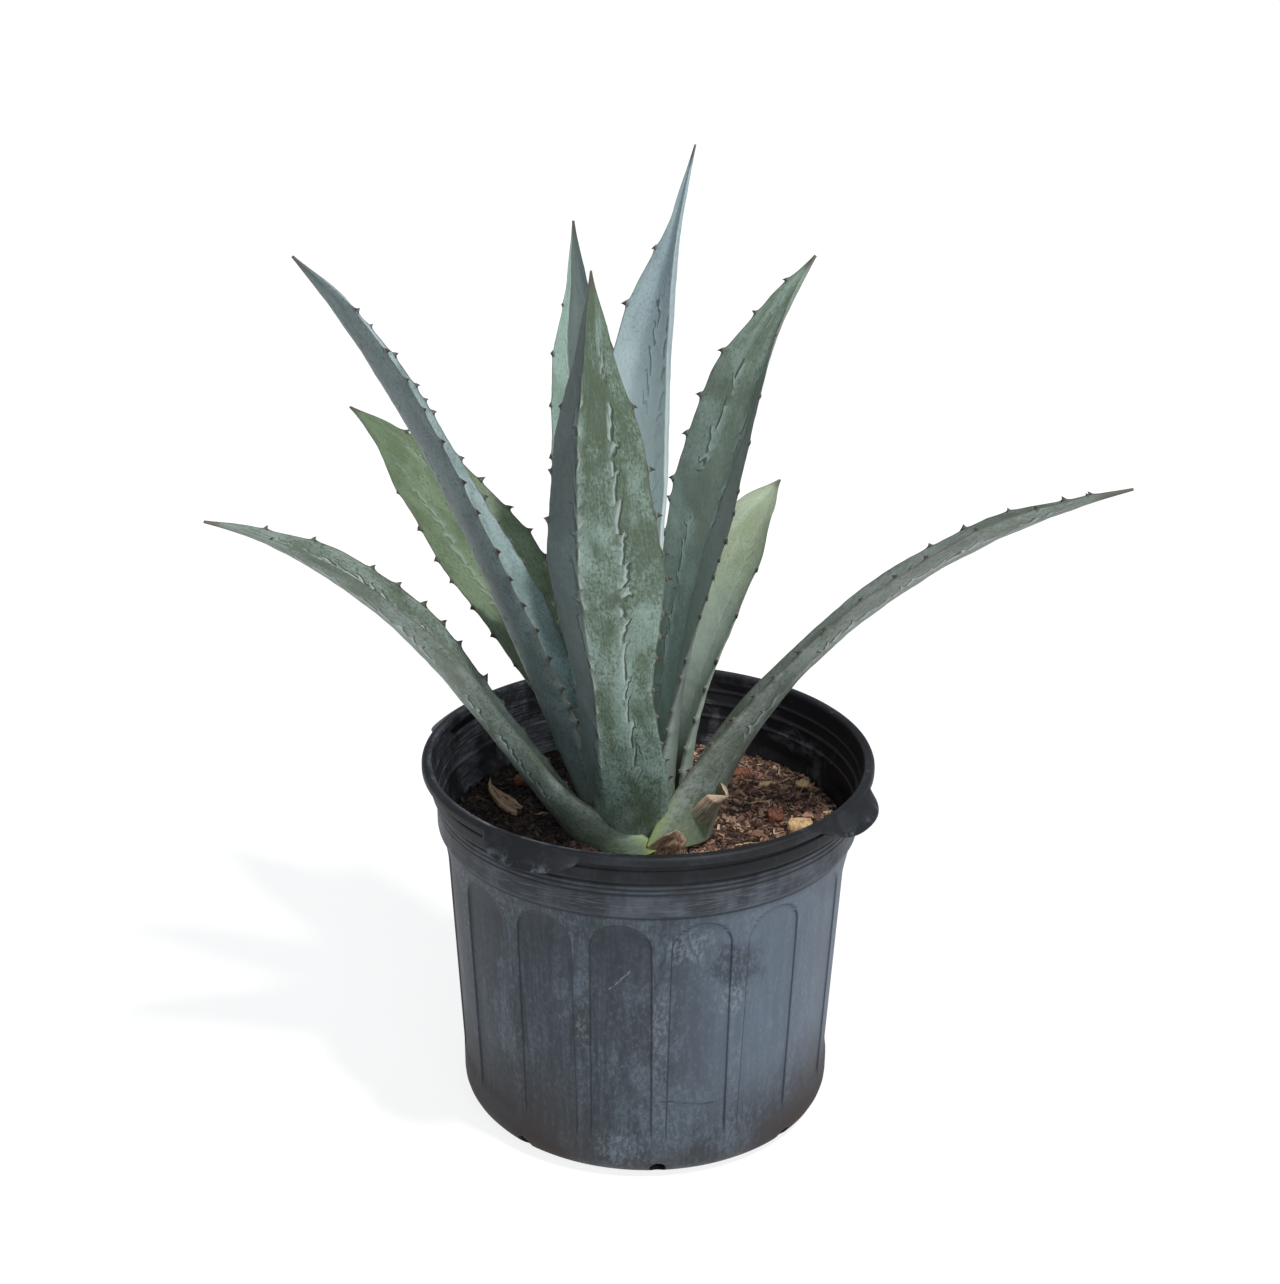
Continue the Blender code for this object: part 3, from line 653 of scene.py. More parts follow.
def soil_mesh(finish):
    columns, rows = 260, 90
    points = []
    for radius, height in [(0.0004, 0.0045), (0.1000, 0.0045),
                           (0.1125, 0.0165), (0.1195, 0.1600)]:
        for angle in np.linspace(0.0, 2 * math.pi, columns, endpoint=False):
            points.append((radius * math.sin(angle), -radius * math.cos(angle), height))
    for radius in np.linspace(SOIL_RADIUS - 0.001, 0.0004, rows):
        for angle in np.linspace(0.0, 2 * math.pi, columns, endpoint=False):
            x, y = radius * math.sin(angle), -radius * math.cos(angle)
            points.append((x, y, soil_top(x, y)))
    faces = ring_faces(rows + 4, columns)
    faces.append(tuple(range(columns)))
    last = (rows + 3) * columns
    faces.append(tuple(range(last, last + columns)))
    return add_mesh("potting_soil", points, faces, finish)


def shade_left_of_bed(finish, place, tone):
    """Paints shade on the left of the bed, where the low leaves cast their shadow."""
    return finish.mix(finish.axis(place, 0).rise(0.005, -0.060) * 0.86, tone, (0.008, 0.007, 0.007))


def soil_finish():
    finish = Finish("moist_bark_soil", roughness=0.95, specular=0.15)
    place = finish.places()
    clods = finish.cloud(place, 190.0, 5.0, 0.7)
    grains = finish.cloud(place, 900.0, 3.0, 0.7)
    tone = finish.node("ShaderNodeValToRGB", {"stops": [
        (0.30, (0.010, 0.007, 0.006)), (0.50, (0.040, 0.022, 0.015)),
        (0.64, (0.095, 0.048, 0.030)), (0.80, (0.190, 0.110, 0.065))]},
        {0: clods * 0.55 + grains * 0.45})
    # painted shade: the left of the bed is darkened for the shadow of the low leaves
    finish.colour(shade_left_of_bed(finish, place, tone))
    finish.relief(clods * 0.6 + grains * 0.5, 0.0016)
    return finish


soil = soil_mesh(soil_finish())
settle(soil, "soil", "potting_mix")


# %% [markdown]
# Each crumb is a small wedge with its own length, width and lean. A random number per
# crumb, painted on its points, picks its colour: mostly dark peat, then red bark, and a
# few pale fibres. The seed is fixed, so the scatter is the same each time.


# %% Scatter the crumbs
CLEAR_RADIUS = 0.012


def wedge(centre, heading, length, width, height, lean, skew):
    """Eight corners of a tapered sliver lying at a lean."""
    along = Vector((math.cos(heading) * math.cos(lean), math.sin(heading) * math.cos(lean),
                    math.sin(lean)))
    side = Vector((-math.sin(heading), math.cos(heading), skew)).normalized()
    up = along.cross(side).normalized()
    corners = []
    for end, taper in ((-0.5, 1.0), (0.5, 0.45)):
        for across, lift in ((-0.5, -0.5), (0.5, -0.5), (0.5, 0.5), (-0.5, 0.5)):
            corners.append(centre + along * end * length + side * across * width * taper
                           + up * lift * height * (0.6 + 0.4 * taper))
    return corners


def crumb_finish():
    finish = Finish("bark_crumbs", roughness=0.85, specular=0.25)
    place = finish.places()
    tint = finish.value("tint")
    grain = finish.cloud(place, 700.0, 3.0)
    tone = finish.node("ShaderNodeValToRGB", {"stops": [
        (0.00, (0.024, 0.015, 0.013)), (0.34, (0.085, 0.048, 0.036)),
        (0.62, (0.180, 0.098, 0.070)), (0.84, (0.300, 0.180, 0.125)),
        (0.97, (0.440, 0.310, 0.215)), (1.00, (0.560, 0.440, 0.310))]},
        {0: tint + grain * 0.16 - 0.08})
    # painted shade: crumbs on the left of the bed are darkened for the shadow of the low leaves
    finish.colour(shade_left_of_bed(finish, place, tone))
    finish.relief(grain, 0.0004)
    return finish


def scatter_crumbs(count, seed):
    dice = random.Random(seed)
    points, faces, tint = [], [], []
    sides = [(0, 1, 2, 3), (7, 6, 5, 4), (0, 4, 5, 1), (1, 5, 6, 2), (2, 6, 7, 3), (3, 7, 4, 0)]
    while len(points) < count * 8:
        radius = (SOIL_RADIUS - 0.004) * math.sqrt(dice.random())
        angle = dice.uniform(0.0, 2 * math.pi)
        if radius < CLEAR_RADIUS:
            continue
        x, y = radius * math.sin(angle), -radius * math.cos(angle)
        shade = dice.random()
        fibre = dice.random() < 0.20
        length = dice.uniform(0.004, 0.013) if fibre else dice.uniform(0.0014, 0.0080)
        width = 0.00045 if fibre else length * dice.uniform(0.18, 0.60)
        height = 0.0004 if fibre else min(0.0018, width * dice.uniform(0.4, 0.9))
        lift = dice.uniform(-0.0004, 0.0014)
        centre = Vector((x, y, soil_top(x, y) + lift))
        base = len(points)
        points += wedge(centre, dice.uniform(0, 2 * math.pi), length, width, height,
                        math.radians(dice.gauss(0, 16)), dice.gauss(0, 0.35))
        faces += [tuple(base + corner for corner in side) for side in sides]
        tint += [min(1.0, shade ** 1.25 + (0.25 if fibre else 0.0))] * 8
    crumbs = add_mesh("bark_crumbs", points, faces, crumb_finish(), {"tint": tint})
    crumbs.data.shade_flat()
    return crumbs


settle(scatter_crumbs(15000, 7), "soil")

# %% [markdown]
# ## The leaves
# An agave leaf is a thick, channelled blade that grows whole: teeth, margin and end
# spine are one with it. Each is lofted along its midrib. The midrib's rise, turn and roll
# are short polynomials of the share along it, the half width is eased between stations,
# and the channel is an arc whose half angle changes from base to tip.

# %% List the leaves
WIDTH_STATIONS = (0.0, 0.15, 0.35, 0.55, 0.75, 0.9, 1.0)
TIP_SHARE = 0.012


@dataclass
class Leaf:
    """A leaf's midrib, blade and character."""

    name: str
    node: str
    azimuth: float
    radius: float
    height: float
    length: float
    rise: tuple
    turn: tuple
    roll: tuple
    half_width: float
    shares: tuple
    cups: tuple
    thickness: float = 1.0
    fold: tuple = (0.0, 0.0)
    wrap: tuple = ()
    toothed: tuple = (-1, 1)
    teeth: tuple = ((), ())
    bare: tuple = (0.13, 0.13)


LEAVES = (
    Leaf("spear_leaf", "leaf_spear", 139, -0.009, 0.016, 0.412, (92, -9, -9), (-4, -6), (2, -4),
         0.0388, (0.60, 0.55, 0.86, 1.04, 0.66, 0.14), (118, 62, 100), 0.45, toothed=(1,),
         teeth=((), (0.660, 0.768, 0.850))),
    Leaf("back_leaf", "leaf_back", 204, 0.014, 0.012, 0.367, (65, -4, 11), (-8, -7), (0, -2),
         0.0337, (0.60, 0.58, 0.86, 1.00, 0.74, 0.22), (57, 51, 64), 0.80, fold=(0.1, 0.8),
         teeth=((), (0.600, 0.685, 0.772, 0.858))),
    Leaf("right_tall_leaf", "leaf_right_tall", 108, 0.006, 0.013, 0.361, (86, -10, -19), (4, -2),
         (-3, 14), 0.0396, (0.60, 0.58, 0.78, 1.03, 0.81, 0.33), (59, 12, 100), 0.80,
         fold=(-0.25, 0.9), teeth=((0.305, 0.388, 0.425, 0.463, 0.495, 0.530, 0.575, 0.613, 0.690,
                                    0.765, 0.860), (0.560, 0.640, 0.710, 0.795, 0.873, 0.945))),
    Leaf("front_leaf", "leaf_front", -16, 0.030, -0.005, 0.406, (64, 23, 3), (3, 0), (0, -6),
         0.0368, (0.62, 0.77, 0.67, 1.00, 0.77, 0.30), (52, 30, 58), 0.55, fold=(-0.36, 0.9),
         teeth=((0.480, 0.547, 0.618, 0.700, 0.800),
                (0.348, 0.410, 0.450, 0.487, 0.552, 0.590, 0.650, 0.720, 0.812))),
    Leaf("right_back_leaf", "leaf_right_back", 124, 0.020, 0.006, 0.229, (96, -51, -10), (6, 6),
         (-1, 16), 0.0344, (0.60, 0.58, 0.83, 1.00, 0.86, 0.38), (58, 41, 42),
         teeth=((0.608, 0.733), ())),
    Leaf("left_tall_leaf", "leaf_left_tall", -95, 0.023, 0.004, 0.403, (65, 11, -23), (6, 4),
         (1, 11), 0.0437, (0.60, 0.64, 1.04, 0.87, 0.78, 0.47), (68, 37, 62),
         teeth=((0.345, 0.408, 0.445, 0.485, 0.530, 0.600, 0.680, 0.703, 0.728, 0.785, 0.843,
                 0.875), ())),
    Leaf("left_back_leaf", "leaf_left_back", -136, 0.024, 0.006, 0.335, (55, -31, -4), (2, 1),
         (-2, -3), 0.0373, (0.60, 0.57, 0.84, 1.01, 0.79, 0.30), (58, 16, 58),
         teeth=((), (0.453, 0.520, 0.570, 0.647, 0.740))),
    Leaf("right_low_leaf", "leaf_right_low", 82, 0.027, 0.004, 0.360, (72, -69, 18), (-3, 0),
         (-1, -15), 0.0365, (0.61, 0.71, 0.71, 1.01, 0.84, 0.25), (74, 29, 69),
         wrap=(-1, -1.0, 0.0470), bare=(0.13, 0.60),
         teeth=((0.930,), (0.640, 0.708, 0.792, 0.888, 0.930))),
    Leaf("left_low_leaf", "leaf_left_low", -74, 0.020, -0.021, 0.355, (49, 39, -68), (2, 2),
         (-2, 1), 0.0366, (0.62, 0.45, 0.65, 1.03, 0.73, 0.24), (71, 47, 56),
         wrap=(1, 7.0, 0.0490), bare=(0.13, 0.86),
         teeth=((0.290, 0.355, 0.408, 0.480, 0.525, 0.570, 0.635, 0.690, 0.807, 0.895), ())),
)
print(len(LEAVES), "leaves")


# %% [markdown]
# The midrib is summed in small steps from the heading of each ring. With it come three
# directions: across the blade, out of its upper face, and along it.


# %% Follow a midrib
def eased_width(leaf, along):
    shares = (*leaf.shares, TIP_SHARE)
    widths = np.zeros_like(along)
    for index in range(len(WIDTH_STATIONS) - 1):
        start, end = WIDTH_STATIONS[index], WIDTH_STATIONS[index + 1]
        part = np.clip((along - start) / (end - start), 0.0, 1.0)
        part = 0.65 * part + 0.35 * part * part * (3.0 - 2.0 * part)
        here = (along >= start) & (along <= end)
        widths[here] = (shares[index] + (shares[index + 1] - shares[index]) * part)[here]
    return leaf.half_width * widths


def channel(leaf, along):
    base, middle, tip = (math.radians(angle) for angle in leaf.cups)
    lower = base + (middle - base) * np.sin(np.minimum(along, 0.5) * math.pi)
    upper = middle + (tip - middle) * np.maximum(2.0 * along - 1.0, 0.0) ** 2
    return np.where(along < 0.5, lower, upper)


def midrib(leaf, along):
    rise = np.radians(leaf.rise[0] + leaf.rise[1] * along + leaf.rise[2] * along ** 2)
    turned = np.radians(leaf.azimuth + leaf.turn[0] * along + leaf.turn[1] * along ** 2)
    roll = np.radians(leaf.roll[0] + leaf.roll[1] * along)
    zero = np.zeros_like(along)
    heading = np.stack([np.sin(turned), -np.cos(turned), zero], 1)
    side = np.stack([np.cos(turned), np.sin(turned), zero], 1)
    vertical = np.array([[0.0, 0.0, 1.0]])
    tangent = heading * np.cos(rise)[:, None] + vertical * np.sin(rise)[:, None]
    up = vertical * np.cos(rise)[:, None] - heading * np.sin(rise)[:, None]
    across = side * np.cos(roll)[:, None] + up * np.sin(roll)[:, None]
    normal = up * np.cos(roll)[:, None] - side * np.sin(roll)[:, None]
    steps = (tangent[1:] + tangent[:-1]) / 2 * (np.diff(along) * leaf.length)[:, None]
    first = math.radians(leaf.azimuth)
    start = np.array([math.sin(first) * leaf.radius, -math.cos(first) * leaf.radius,
                      SOIL_HEIGHT + leaf.height])
    line = start + np.concatenate([np.zeros((1, 3)), np.cumsum(steps, 0)])
    return line, across, normal, tangent


# %% [markdown]
# Teeth stand one to four centimetres apart, each on a small swelling of the margin. The
# clearest ones are set out one by one in the list of leaves, and a seeded draw spaces the
# rest. The swelling in the blade and the hooked tooth on it share the same places.


# %% Space the teeth
SWELLING = 0.0013
TOOTH_LENGTH = 0.0034


def tooth_places(leaf, side):
    if side not in leaf.toothed:
        return []
    set_out = leaf.teeth[0 if side < 0 else 1]
    last = set_out[0] - 0.03 if set_out else 0.93
    dice = random.Random(f"{leaf.name} {side}")
    places, along = [], leaf.bare[0 if side < 0 else 1] + dice.uniform(0.0, 0.04)
    while along < last:
        places.append(along)
        gap = 0.014 + 0.014 * along
        along += gap * dice.uniform(0.75, 1.40) / leaf.length
    return [*places, *set_out]


def swelling(along, places, leaf):
    """Extra half width of the margin round each tooth."""
    extra = np.zeros_like(along)
    for place in places:
        distance = (along - place) * leaf.length
        extra += SWELLING * np.exp(-(distance / 0.0030) ** 2) * tooth_size(place)
    return extra


def tooth_size(along):
    """Teeth are largest a little past the middle and small near both ends."""
    return 0.55 + 0.55 * math.sin(math.pi * min(1.0, max(0.0, along)) ** 0.85)


def add_tooth(points, faces, root, outward, along, size, hook):
    """A curved thorn with an oval foot, as closed rings up to a point."""
    thick = Vector(outward).cross(Vector(along)).normalized()
    outward, along, root = Vector(outward), Vector(along), Vector(root)
    base, sides = len(points), 8
    for share in (-0.30, 0.0, 0.25, 0.5, 0.75):
        reach = max(0.0, 1.0 - share) ** 1.25
        centre = root + outward * size * share + along * hook * size * max(share, 0.0) ** 1.7
        for index in range(sides):
            angle = 2 * math.pi * index / sides
            points.append(centre + along * math.cos(angle) * size * 0.52 * reach
                          + thick * math.sin(angle) * size * 0.24 * reach)
    points.append(root + outward * size + along * hook * size)
    for ring in range(4):
        for index in range(sides):
            after = (index + 1) % sides
            low, high = base + ring * sides, base + (ring + 1) * sides
            faces.append((low + index, low + after, high + after, high + index))
    tip = base + 5 * sides
    for index in range(sides):
        faces.append((tip - sides + index, tip - sides + (index + 1) % sides, tip))
    faces.append(tuple(base + index for index in reversed(range(sides))))
    return [0.0] * sides + [0.35] * sides + [1.0] * (3 * sides + 1)


# %% [markdown]
# A channel that is a plain arc shades too softly: real blades have a fold line with a
# flatter facet on each side. The two lowest leaves also clasp the others at the base, so
# one side of each is drawn round the rosette until the pair meets in front.


# %% Fold and sheathe a blade
SHEATH_RISE = 0.0130


def fold_section(leaf, along, cup, bend, places, sideways, rise):
    """Flattens the channel's arc into two facets that meet at the fold."""
    place, strength = leaf.fold
    corners = [(bend * np.sin(cup * spot), bend * (1.0 - np.cos(cup * spot)))
               for spot in (-1.0, place, 1.0)]
    low = ((places - -1.0) / (place + 1.0))[None, :]
    high = ((places - place) / (1.0 - place))[None, :]
    before = (places < place)[None, :]
    flat = [np.where(before, corners[0][axis] + (corners[1][axis] - corners[0][axis]) * low,
                     corners[1][axis] + (corners[2][axis] - corners[1][axis]) * high)
            for axis in (0, 1)]
    share = strength * ease(np.abs(places - place), 0.0, 0.07)[None, :]
    share = share * ease(along, 0.05, 0.25)[:, None]
    return sideways + (flat[0] - sideways) * share, rise + (flat[1] - rise) * share


def sheathe(leaf, face, along, places):
    """Draws one side of the leaf's base round the rosette as a clasping sheath."""
    side, azimuth, radius = leaf.wrap
    reach = np.clip(places * side, 0.0, 1.0)
    turned = np.radians(leaf.azimuth + (azimuth - leaf.azimuth) * reach)[None, :]
    grown = (along * leaf.length * 0.85)[:, None]
    height = SOIL_HEIGHT + SHEATH_RISE + grown
    radius = radius + 0.45 * (SHEATH_RISE + grown)
    ones = np.ones_like(height * turned)
    target = np.stack([radius * np.sin(turned) * ones, -radius * np.cos(turned) * ones,
                       height * ones], -1)
    weight = (1.0 - np.clip(along / 0.24, 0.0, 1.0))[:, None] ** 1.9 * reach[None, :] ** 1.2
    return face + (target - face) * weight[..., None]


# %% [markdown]
# The loft itself works on whole arrays: one row for each ring, one column for each place
# across. The back of the blade is the face moved out by a thickness that rounds off at
# both margins. A gentle wave keeps the blade from looking machined.


# %% Loft a leaf
RIPPLE_DEPTH = 0.0007


def blade_arrays(leaf, along, places):
    """Points of the upper face and the directions out of its back, ring by ring."""
    line, across, normal, tangent = midrib(leaf, along)
    width = eased_width(leaf, along)
    cup = channel(leaf, along)
    angle = cup[:, None] * places[None, :]
    bend = (width / cup)[:, None]
    sideways, rise = bend * np.sin(angle), bend * (1.0 - np.cos(angle))
    if leaf.fold[1]:
        sideways, rise = fold_section(leaf, along, cup[:, None], bend, places, sideways, rise)
    face = (line[:, None, :] + across[:, None, :] * sideways[..., None]
            + normal[:, None, :] * rise[..., None])
    out = (across[:, None, :] * np.sin(angle)[..., None]
           - normal[:, None, :] * np.cos(angle)[..., None])
    edge = (across[:, None, :] * np.cos(angle)[..., None]
            + normal[:, None, :] * np.sin(angle)[..., None])
    return face, out, edge, tangent


def add_wave(leaf, face, out, along, places):
    """Moves both faces together by a slow, slight ripple."""
    seed = len(leaf.name) * 7.3 + leaf.azimuth
    for row in range(len(along)):
        fade = min(1.0, along[row] * 6.0) * min(1.0, (1.0 - along[row]) * 8.0)
        for column, place in enumerate(places):
            reach = along[row] * leaf.length
            ripple = noise.noise(Vector((reach * 42.0, place * 1.7, seed)))
            ripple += 0.35 * noise.noise(Vector((reach * 150.0, place * 5.0, seed)))
            face[row, column] += out[row, column] * ripple * RIPPLE_DEPTH * fade
    return face


def leaf_mesh(leaf, finish, rings=230, half_count=17):
    along = np.linspace(0.0, 1.0, rings)
    places = np.sin(np.linspace(-math.pi / 2, math.pi / 2, 2 * half_count - 1))
    face, out, edge, tangent = blade_arrays(leaf, along, places)
    teeth = {side: tooth_places(leaf, side) for side in (-1, 1)}
    near_edge = np.clip((np.abs(places) - 0.72) / 0.28, 0.0, 1.0) ** 2
    for side in (-1, 1):
        extra = swelling(along, teeth[side], leaf)[:, None] * near_edge * (places * side > 0)
        face = face + edge * (extra * side)[..., None]
    if leaf.wrap:
        face = sheathe(leaf, face, along, places)
    face = add_wave(leaf, face, out, along, places)
    thick = (0.0095 * (1.0 - along) ** 2.2 + 0.0035 * (1.0 - 0.6 * along)) * leaf.thickness
    back = thick[:, None] * np.sqrt(np.clip(1.0 - places ** 2, 0.0, 1.0))
    lower = (face + out * back[..., None])[:, -2:0:-1]
    points = np.concatenate([face, lower], 1)
    columns = points.shape[1]
    inner_places = places[-2:0:-1]
    values = {"along": np.repeat(along, columns),
              "across": np.tile(np.concatenate([places, inner_places]), rings),
              "upper": np.tile(np.concatenate([np.ones(len(places)), np.zeros(len(inner_places))]),
                               rings),
              "tooth": np.zeros(rings * columns)}
    values["upper"] = np.where(np.abs(values["across"]) > 0.999, 0.5, values["upper"])
    faces = ring_faces(rings, columns)
    faces.append(tuple(range(columns)))
    faces.append(tuple(range((rings - 1) * columns, rings * columns)))
    points = [Vector(point) for point in points.reshape(-1, 3)]
    added = {key: [] for key in values}
    dice = random.Random(leaf.name)
    for side in (-1, 1):
        column = 0 if side < 0 else len(places) - 1
        for place in teeth[side]:
            row = int(round(place * (rings - 1)))
            size = TOOTH_LENGTH * tooth_size(place) * dice.uniform(0.8, 1.2)
            dark = add_tooth(points, faces, face[row, column], edge[row, column] * side,
                             tangent[row], size, dice.uniform(-0.75, 0.15))
            added["tooth"] += dark
            added["along"] += [place] * len(dark)
            added["across"] += [float(side)] * len(dark)
            added["upper"] += [0.5] * len(dark)
    values = {key: np.concatenate([numbers, added[key]]) for key, numbers in values.items()}
    return add_mesh(leaf.name, points, faces, finish, values)


# %% [markdown]
# The skin of the leaf is green flesh under a blue-grey wax bloom. The bloom wears off in
# long mottled patches, and scalloped lines show where the margins of neighbouring leaves
# were pressed into it in the bud. Young leaves keep more bloom, old ones more green. The
# base is pale yellow-green where light never reached, and the spine and teeth are dark.


# %% Mix the leaf skins
SPINE = (0.962, 0.988)
DRIED_SPINE = (0.925, 0.960)


@dataclass
class Skin:
    """How one leaf's surface is coloured."""

    bloom: tuple
    flesh: tuple
    cover: float
    pressed: float = 1.0
    scallops: float = 12.0
    line: float = 0.42
    # painted shade: how much colour the outer face keeps where it is darkened as if unlit
    back: float = 1.0
    ripen: float = 0.0
    # painted light: how much the lower blade is lightened where other leaves shade it
    lower_painted_light: float = 0.0
    # painted shade: where the fold lies and the darker tone of the side turned from the light
    facet: tuple = ()


def leaf_skin(leaf, skin):
    finish = Finish(f"{leaf.name}_skin", roughness=0.55, specular=0.35)
    along, across = finish.value("along"), finish.value("across")
    upper, tooth = finish.value("upper"), finish.value("tooth")
    shape = finish.node("ShaderNodeCombineXYZ", None,
                        {0: across * leaf.half_width, 1: along * (leaf.length * 0.6),
                         2: upper * 0.05 + leaf.azimuth})
    broad = finish.cloud(shape, 48.0, 3.0, 0.55, 0.5)
    mottle = finish.cloud(shape, 300.0, 4.0, 0.70, 0.3)
    grain = finish.cloud(shape, 640.0, 4.0, 0.75)
    fibre = finish.cloud(finish.stretch(shape, (1.0, 0.10, 1.0)), 900.0, 2.0)
    level = 0.50 + 0.12 * (0.5 - skin.cover)
    thinned = along * skin.ripen
    cover = (broad * 0.34 + mottle * 0.30 + grain * 0.36 - thinned).rise(level - 0.09, level + 0.09)
    colour = finish.mix(cover, skin.flesh, skin.bloom)
    spots = mottle.rise(0.48, 0.60) * broad.rise(0.58, 0.42) * grain.rise(0.44, 0.56)
    colour = finish.mix(spots * (0.9 - 0.6 * skin.cover), colour,
                        tuple(0.45 * part for part in skin.flesh))
    colour = finish.mix(grain.rise(0.52, 0.38) * 0.38, colour,
                        tuple(0.50 * part for part in skin.flesh))
    wax = finish.cloud(shape, 30.0, 3.0, 0.5).rise(0.54, 0.66) * grain.rise(0.30, 0.50)
    colour = finish.mix(wax * 0.55, colour, tuple(1.18 * part for part in skin.bloom))
    colour = finish.mix(fibre.rise(0.45, 0.75) * 0.10, colour, (0.40, 0.47, 0.45))
    # pressed lines: scallops that repeat along the leaf, one dark and one pale beside it
    beat = finish.maths("FRACT", along * (skin.scallops * 2.4) + broad * 3.0)
    arch = finish.maths("POWER", beat, 2.6)
    offset = abs(across) - skin.line - arch * 0.13 - (broad - 0.5) * 0.30
    shown = (broad * 0.8 + mottle * 0.2).rise(0.40, 0.50) * skin.pressed
    shown = shown * along.rise(0.12, 0.25) * along.rise(0.97, 0.80)
    dark_line = abs(offset).rise(0.034, 0.010) * shown
    pale_line = (offset * -1.0).rise(-0.01, 0.005) * (offset + 0.20).rise(0.0, 0.16) * shown
    crest = abs(offset + 0.045).rise(0.035, 0.008) * shown
    colour = finish.mix(pale_line * 0.30 + crest * 0.30, colour, (0.44, 0.52, 0.50))
    colour = finish.mix(dark_line * 0.80, colour, tuple(0.30 * part for part in skin.flesh))
    # painted shade: past the fold the blade takes a darker tone, with a dark line in the fold, for
    # the side that turns from the light
    if skin.facet:
        place, side, shade_tone, strength, drift = skin.facet
        seam = across - finish.maths("MAXIMUM", along - 0.50, 0.0) * drift - place
        seam = seam * float(side) + (mottle - 0.5) * 0.06
        shaded_side = seam.rise(-0.04, 0.04) * along.rise(0.08, 0.22) * strength
        turned = finish.mix(mottle.rise(0.42, 0.60) * 0.5, shade_tone,
                            tuple(0.62 * part for part in shade_tone))
        colour = finish.mix(shaded_side, colour, turned)
        fold_shade = abs(seam).rise(0.045, 0.008) * along.rise(0.15, 0.30) * 0.55
        colour = finish.mix(fold_shade, colour, tuple(0.30 * part for part in skin.flesh))
    # painted shade: the outer face is darkened as if it were out of the light
    if skin.back < 1.0:
        colour = finish.mix((1 - upper) * (1.0 - skin.back), colour, (0.0, 0.0, 0.0))
    # base, margin, teeth and spine
    if leaf.wrap:
        hem = (across * leaf.wrap[0]).rise(0.90, 1.0) * along.rise(0.13, 0.02)
        hem = hem + along.rise(0.016, 0.003) * (across * leaf.wrap[0]).rise(0.45, 0.85) * 0.8
        colour = finish.mix(hem * 0.68, colour, (0.205, 0.285, 0.080))
    young = along.rise(0.13, 0.01)
    colour = finish.mix(young * 0.26, colour, (0.220, 0.300, 0.130))
    # painted light: the lower half of the blade is lightened where neighbouring leaves shade it
    colour = finish.mix(along.rise(0.82, 0.45) * skin.lower_painted_light, colour, (0.560, 0.670, 0.660))
    margin = abs(across).rise(0.955, 0.995) * along.rise(0.05, 0.15)
    colour = finish.mix(margin * 0.62, colour, (0.075, 0.068, 0.052))
    spine = along.rise(*(DRIED_SPINE if leaf.name == "right_low_leaf" else SPINE))
    colour = finish.mix(spine * 0.80, colour, (0.088, 0.074, 0.060))
    colour = finish.mix(tooth.rise(0.15, 0.80), colour, (0.042, 0.032, 0.028))
    finish.colour(colour)
    finish.roughness(0.42 + cover * 0.20 + spots * 0.1)
    finish.relief(mottle * 0.45 + fibre * 0.15 + pale_line * 0.6 - dark_line * 0.9, 0.00045)
    return finish


# SLATE and the facet colours below are painted shade for the side of a fold turned from the light
SLATE = (0.044, 0.062, 0.070)
SKINS = {
    "spear_leaf": Skin((0.310, 0.395, 0.420), (0.215, 0.290, 0.310), 0.85, 1.0, 12.0, 0.14,
                       lower_painted_light=0.92),
    "back_leaf": Skin((0.270, 0.375, 0.335), (0.185, 0.265, 0.220), 0.75, 0.3,
                      facet=(0.15, -1, (0.065, 0.078, 0.084), 0.80, 1.0)),
    "right_tall_leaf": Skin((0.240, 0.310, 0.270), (0.120, 0.160, 0.105), 0.42, 1.0, 10.0, 0.34,
                            lower_painted_light=0.16, facet=(-0.28, -1, (0.150, 0.160, 0.150), 0.65, -1.7)),
    "front_leaf": Skin((0.215, 0.298, 0.262), (0.072, 0.106, 0.064), 0.64, 1.0, 9.0, 0.36,
                       ripen=0.10, facet=(-0.36, -1, SLATE, 0.80, 0.0)),
    "right_back_leaf": Skin((0.320, 0.380, 0.280), (0.260, 0.315, 0.200), 0.55, 0.3, lower_painted_light=0.42),
    "left_tall_leaf": Skin((0.310, 0.398, 0.415), (0.158, 0.225, 0.220), 0.60, 0.8, 12.0, 0.36,
                           back=0.43),
    "left_back_leaf": Skin((0.132, 0.184, 0.112), (0.084, 0.126, 0.060), 0.45, 0.4),
    "right_low_leaf": Skin((0.195, 0.225, 0.212), (0.090, 0.115, 0.082), 0.50, 1.0, 14.0, 0.58),
    "left_low_leaf": Skin((0.205, 0.252, 0.230), (0.088, 0.120, 0.082), 0.50, 1.0, 13.0, 0.56),
}
for leaf in LEAVES:
    blade = leaf_mesh(leaf, leaf_skin(leaf, SKINS[leaf.name]))
    settle(blade, "leaf", leaf.node)

# %% [markdown]
# ## Old leaf remains
# Below the living leaves stand a cut stump with a curled dry edge and a torn brown stub,
# and a dead curl of leaf lies by the wall. They are lofted in the same way, with a ragged
# end and a dry skin.

# %% Shape the remains
REMAINS = (
    Leaf("dry_stump", "old_leaf_stump", 48, 0.034, 0.002, 0.052, (60, -14, 0), (0, 0), (12, 0),
         0.0165, (1.00, 0.98, 0.95, 0.92, 0.88, 0.80), (60, 75, 115), 0.60, toothed=()),
    Leaf("torn_stub", "torn_leaf_stub", 14, 0.047, 0.001, 0.030, (50, 22, 0), (0, 10), (0, 14),
         0.0150, (0.90, 1.00, 0.95, 0.80, 0.60, 0.36), (34, 40, 55), 0.35, toothed=()),
    Leaf("leaf_curl", "dried_leaf_curl", -100, 0.082, 0.002, 0.034, (5, 70, 30), (10, 0),
         (0, 0), 0.0090, (0.50, 0.90, 1.00, 0.80, 0.50, 0.25), (60, 70, 60), 0.30, toothed=()),
)


